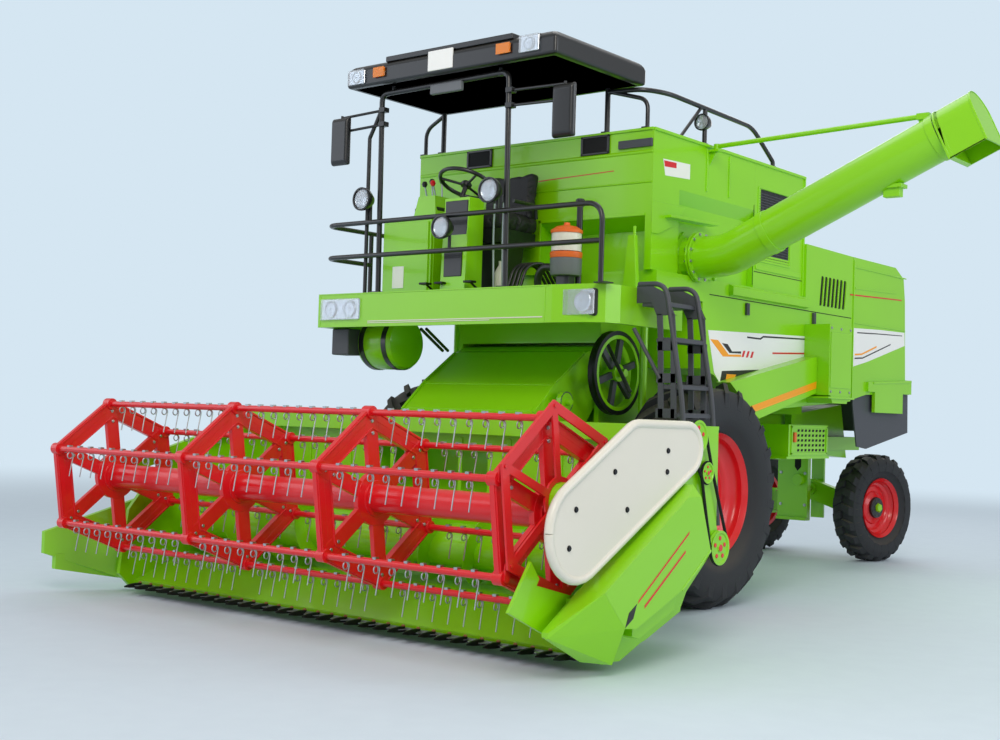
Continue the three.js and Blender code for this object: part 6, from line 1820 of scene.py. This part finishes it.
@dataclass
class Studio:
    """Floor, lights, backdrop colour and the camera."""

    eye: Place = (6.054, -8.2425, 1.286)
    yaw: float = 38.953
    pitch: float = 1.7777
    roll: float = 1.7397
    lens: float = 49.493

    def build(self) -> None:
        """Set up the studio."""
        self._floor()
        self._world()
        for name, place, size, watts, colour in (
            ("key", (6.5, -9.0, 8.5), 5.0, 620.0, "FFF8EE"),
            ("fill", (-8.0, -7.5, 5.0), 7.0, 210.0, "EAF2FF"),
            ("top", (0.0, 1.5, 9.5), 7.0, 200.0, "FFFFFF"),
            ("side", (9.5, 3.0, 4.5), 5.0, 210.0, "F4F8FF"),
            ("rim", (-2.0, 10.5, 6.5), 5.0, 170.0, "FFFFFF"),
        ):
            self._light(name, place, size, watts, colour)
        self._camera()
        bpy.context.scene.view_settings.view_transform = "Standard"
        log.info("studio set")

    def _floor(self) -> None:
        """Lay a pale floor that fades into the backdrop."""
        data = bpy.data.meshes.new("studio_floor")
        size = 60.0
        data.from_pydata([at((-size, -size, -0.001)), at((size, -size, -0.001)), at((size, size, -0.001)),
                          at((-size, size, -0.001))], [], [(0, 1, 2, 3)])
        made = bpy.data.materials.new("studio_floor")
        made.use_nodes = True
        tree = made.node_tree
        shader = tree.nodes["Principled BSDF"]
        place = add_node(tree, "ShaderNodeTexCoord").outputs["Object"]
        grain = add_node(tree, "ShaderNodeTexNoise", None, Vector=place, Scale=6.0, Detail=6.0).outputs["Fac"]
        tint = add_node(tree, "ShaderNodeMix", {"data_type": "RGBA"}, i0=grain, i6=linear("CBD9E4"),
                        i7=linear("D2E0EA")).outputs[2]
        tree.links.new(tint, shader.inputs["Base Color"])
        shader.inputs["Roughness"].default_value = 0.75
        reach = add_node(tree, "ShaderNodeVectorMath", {"operation": "LENGTH"}, i0=place).outputs["Value"]
        fade = add_node(tree, "ShaderNodeMapRange", {"interpolation_type": "SMOOTHSTEP"}, i0=reach, i1=6.0,
                        i2=20.0).outputs[0]
        far = add_node(tree, "ShaderNodeEmission", None, Color=linear(BACKDROP), Strength=1.0).outputs[0]
        blend = add_node(tree, "ShaderNodeMixShader", None, Fac=fade, i1=shader.outputs[0], i2=far).outputs[0]
        tree.links.new(blend, tree.nodes["Material Output"].inputs["Surface"])
        data.materials.append(made)
        floor = bpy.data.objects.new("studio_floor", data)
        bpy.context.scene.collection.objects.link(floor)

    def _world(self) -> None:
        """Set a soft glow, with the backdrop where it is seen or shows through glass."""
        world = bpy.data.worlds.new("studio_world")
        bpy.context.scene.world = world
        world.use_nodes = True
        tree = world.node_tree
        tree.nodes.clear()
        rays = add_node(tree, "ShaderNodeLightPath")
        seen = add_node(tree, "ShaderNodeMath", {"operation": "MAXIMUM"}, i0=rays.outputs["Is Camera Ray"],
                        i1=rays.outputs["Is Transmission Ray"]).outputs[0]
        backdrop = add_node(tree, "ShaderNodeBackground", None, Color=linear(BACKDROP), Strength=1.0)
        glow = add_node(tree, "ShaderNodeBackground", None, Color=linear("F2F6FA"), Strength=0.5)
        mix = add_node(tree, "ShaderNodeMixShader", None, Fac=seen, i1=glow.outputs[0],
                       i2=backdrop.outputs[0])
        out = add_node(tree, "ShaderNodeOutputWorld")
        tree.links.new(mix.outputs[0], out.inputs["Surface"])

    def _light(self, name: str, place: Place, size: float, watts: float, colour: str) -> None:
        """Hang one area light that looks at the machine.

        Args:
            name: its name.
            place: where it hangs.
            size: metres.
            watts: its power.
            colour: hex colour.
        """
        data = bpy.data.lights.new(f"{name}_light", "AREA")
        data.shape, data.size, data.energy = "SQUARE", size, watts
        data.color = linear(colour)[:3]
        made = bpy.data.objects.new(f"{name}_light", data)
        made.location = at(place)
        aim = at((0.2, 0.2, 1.4)) - made.location
        made.rotation_mode = "QUATERNION"
        made.rotation_quaternion = aim.to_track_quat("-Z", "Y")
        bpy.context.scene.collection.objects.link(made)

    def _camera(self) -> None:
        """Set the camera."""
        a, p, r = (math.radians(v) for v in (self.yaw, self.pitch, self.roll))
        ahead = Vector((-math.sin(a) * math.cos(p), math.cos(a) * math.cos(p), math.sin(p)))
        level = Vector((math.cos(a), math.sin(a), 0))
        up = level.cross(ahead)
        right = level * math.cos(r) + up * math.sin(r)
        top = up * math.cos(r) - level * math.sin(r)
        data = bpy.data.cameras.new("main_camera")
        data.lens, data.sensor_width, data.clip_end = self.lens, 36.0, 200.0
        made = bpy.data.objects.new("main_camera", data)
        turn = Matrix((right, top, -ahead)).transposed().to_4x4()
        made.matrix_world = Matrix.Translation(at(self.eye)) @ turn
        bpy.context.scene.collection.objects.link(made)
        bpy.context.scene.camera = made


def main() -> None:
    """Build the looks in order."""
    logging.basicConfig(level=logging.INFO, format="%(name)s: %(message)s")
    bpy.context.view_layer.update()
    Coat().dress()
    for part in (Wheels(), Canopy(), Station(), Ladder(), BodyTrim(), Discharge(), Table(), Reel(), Feeder()):
        part.build()
    Studio().build()
    bpy.context.view_layer.update()


if __name__ == "__main__":
    main()
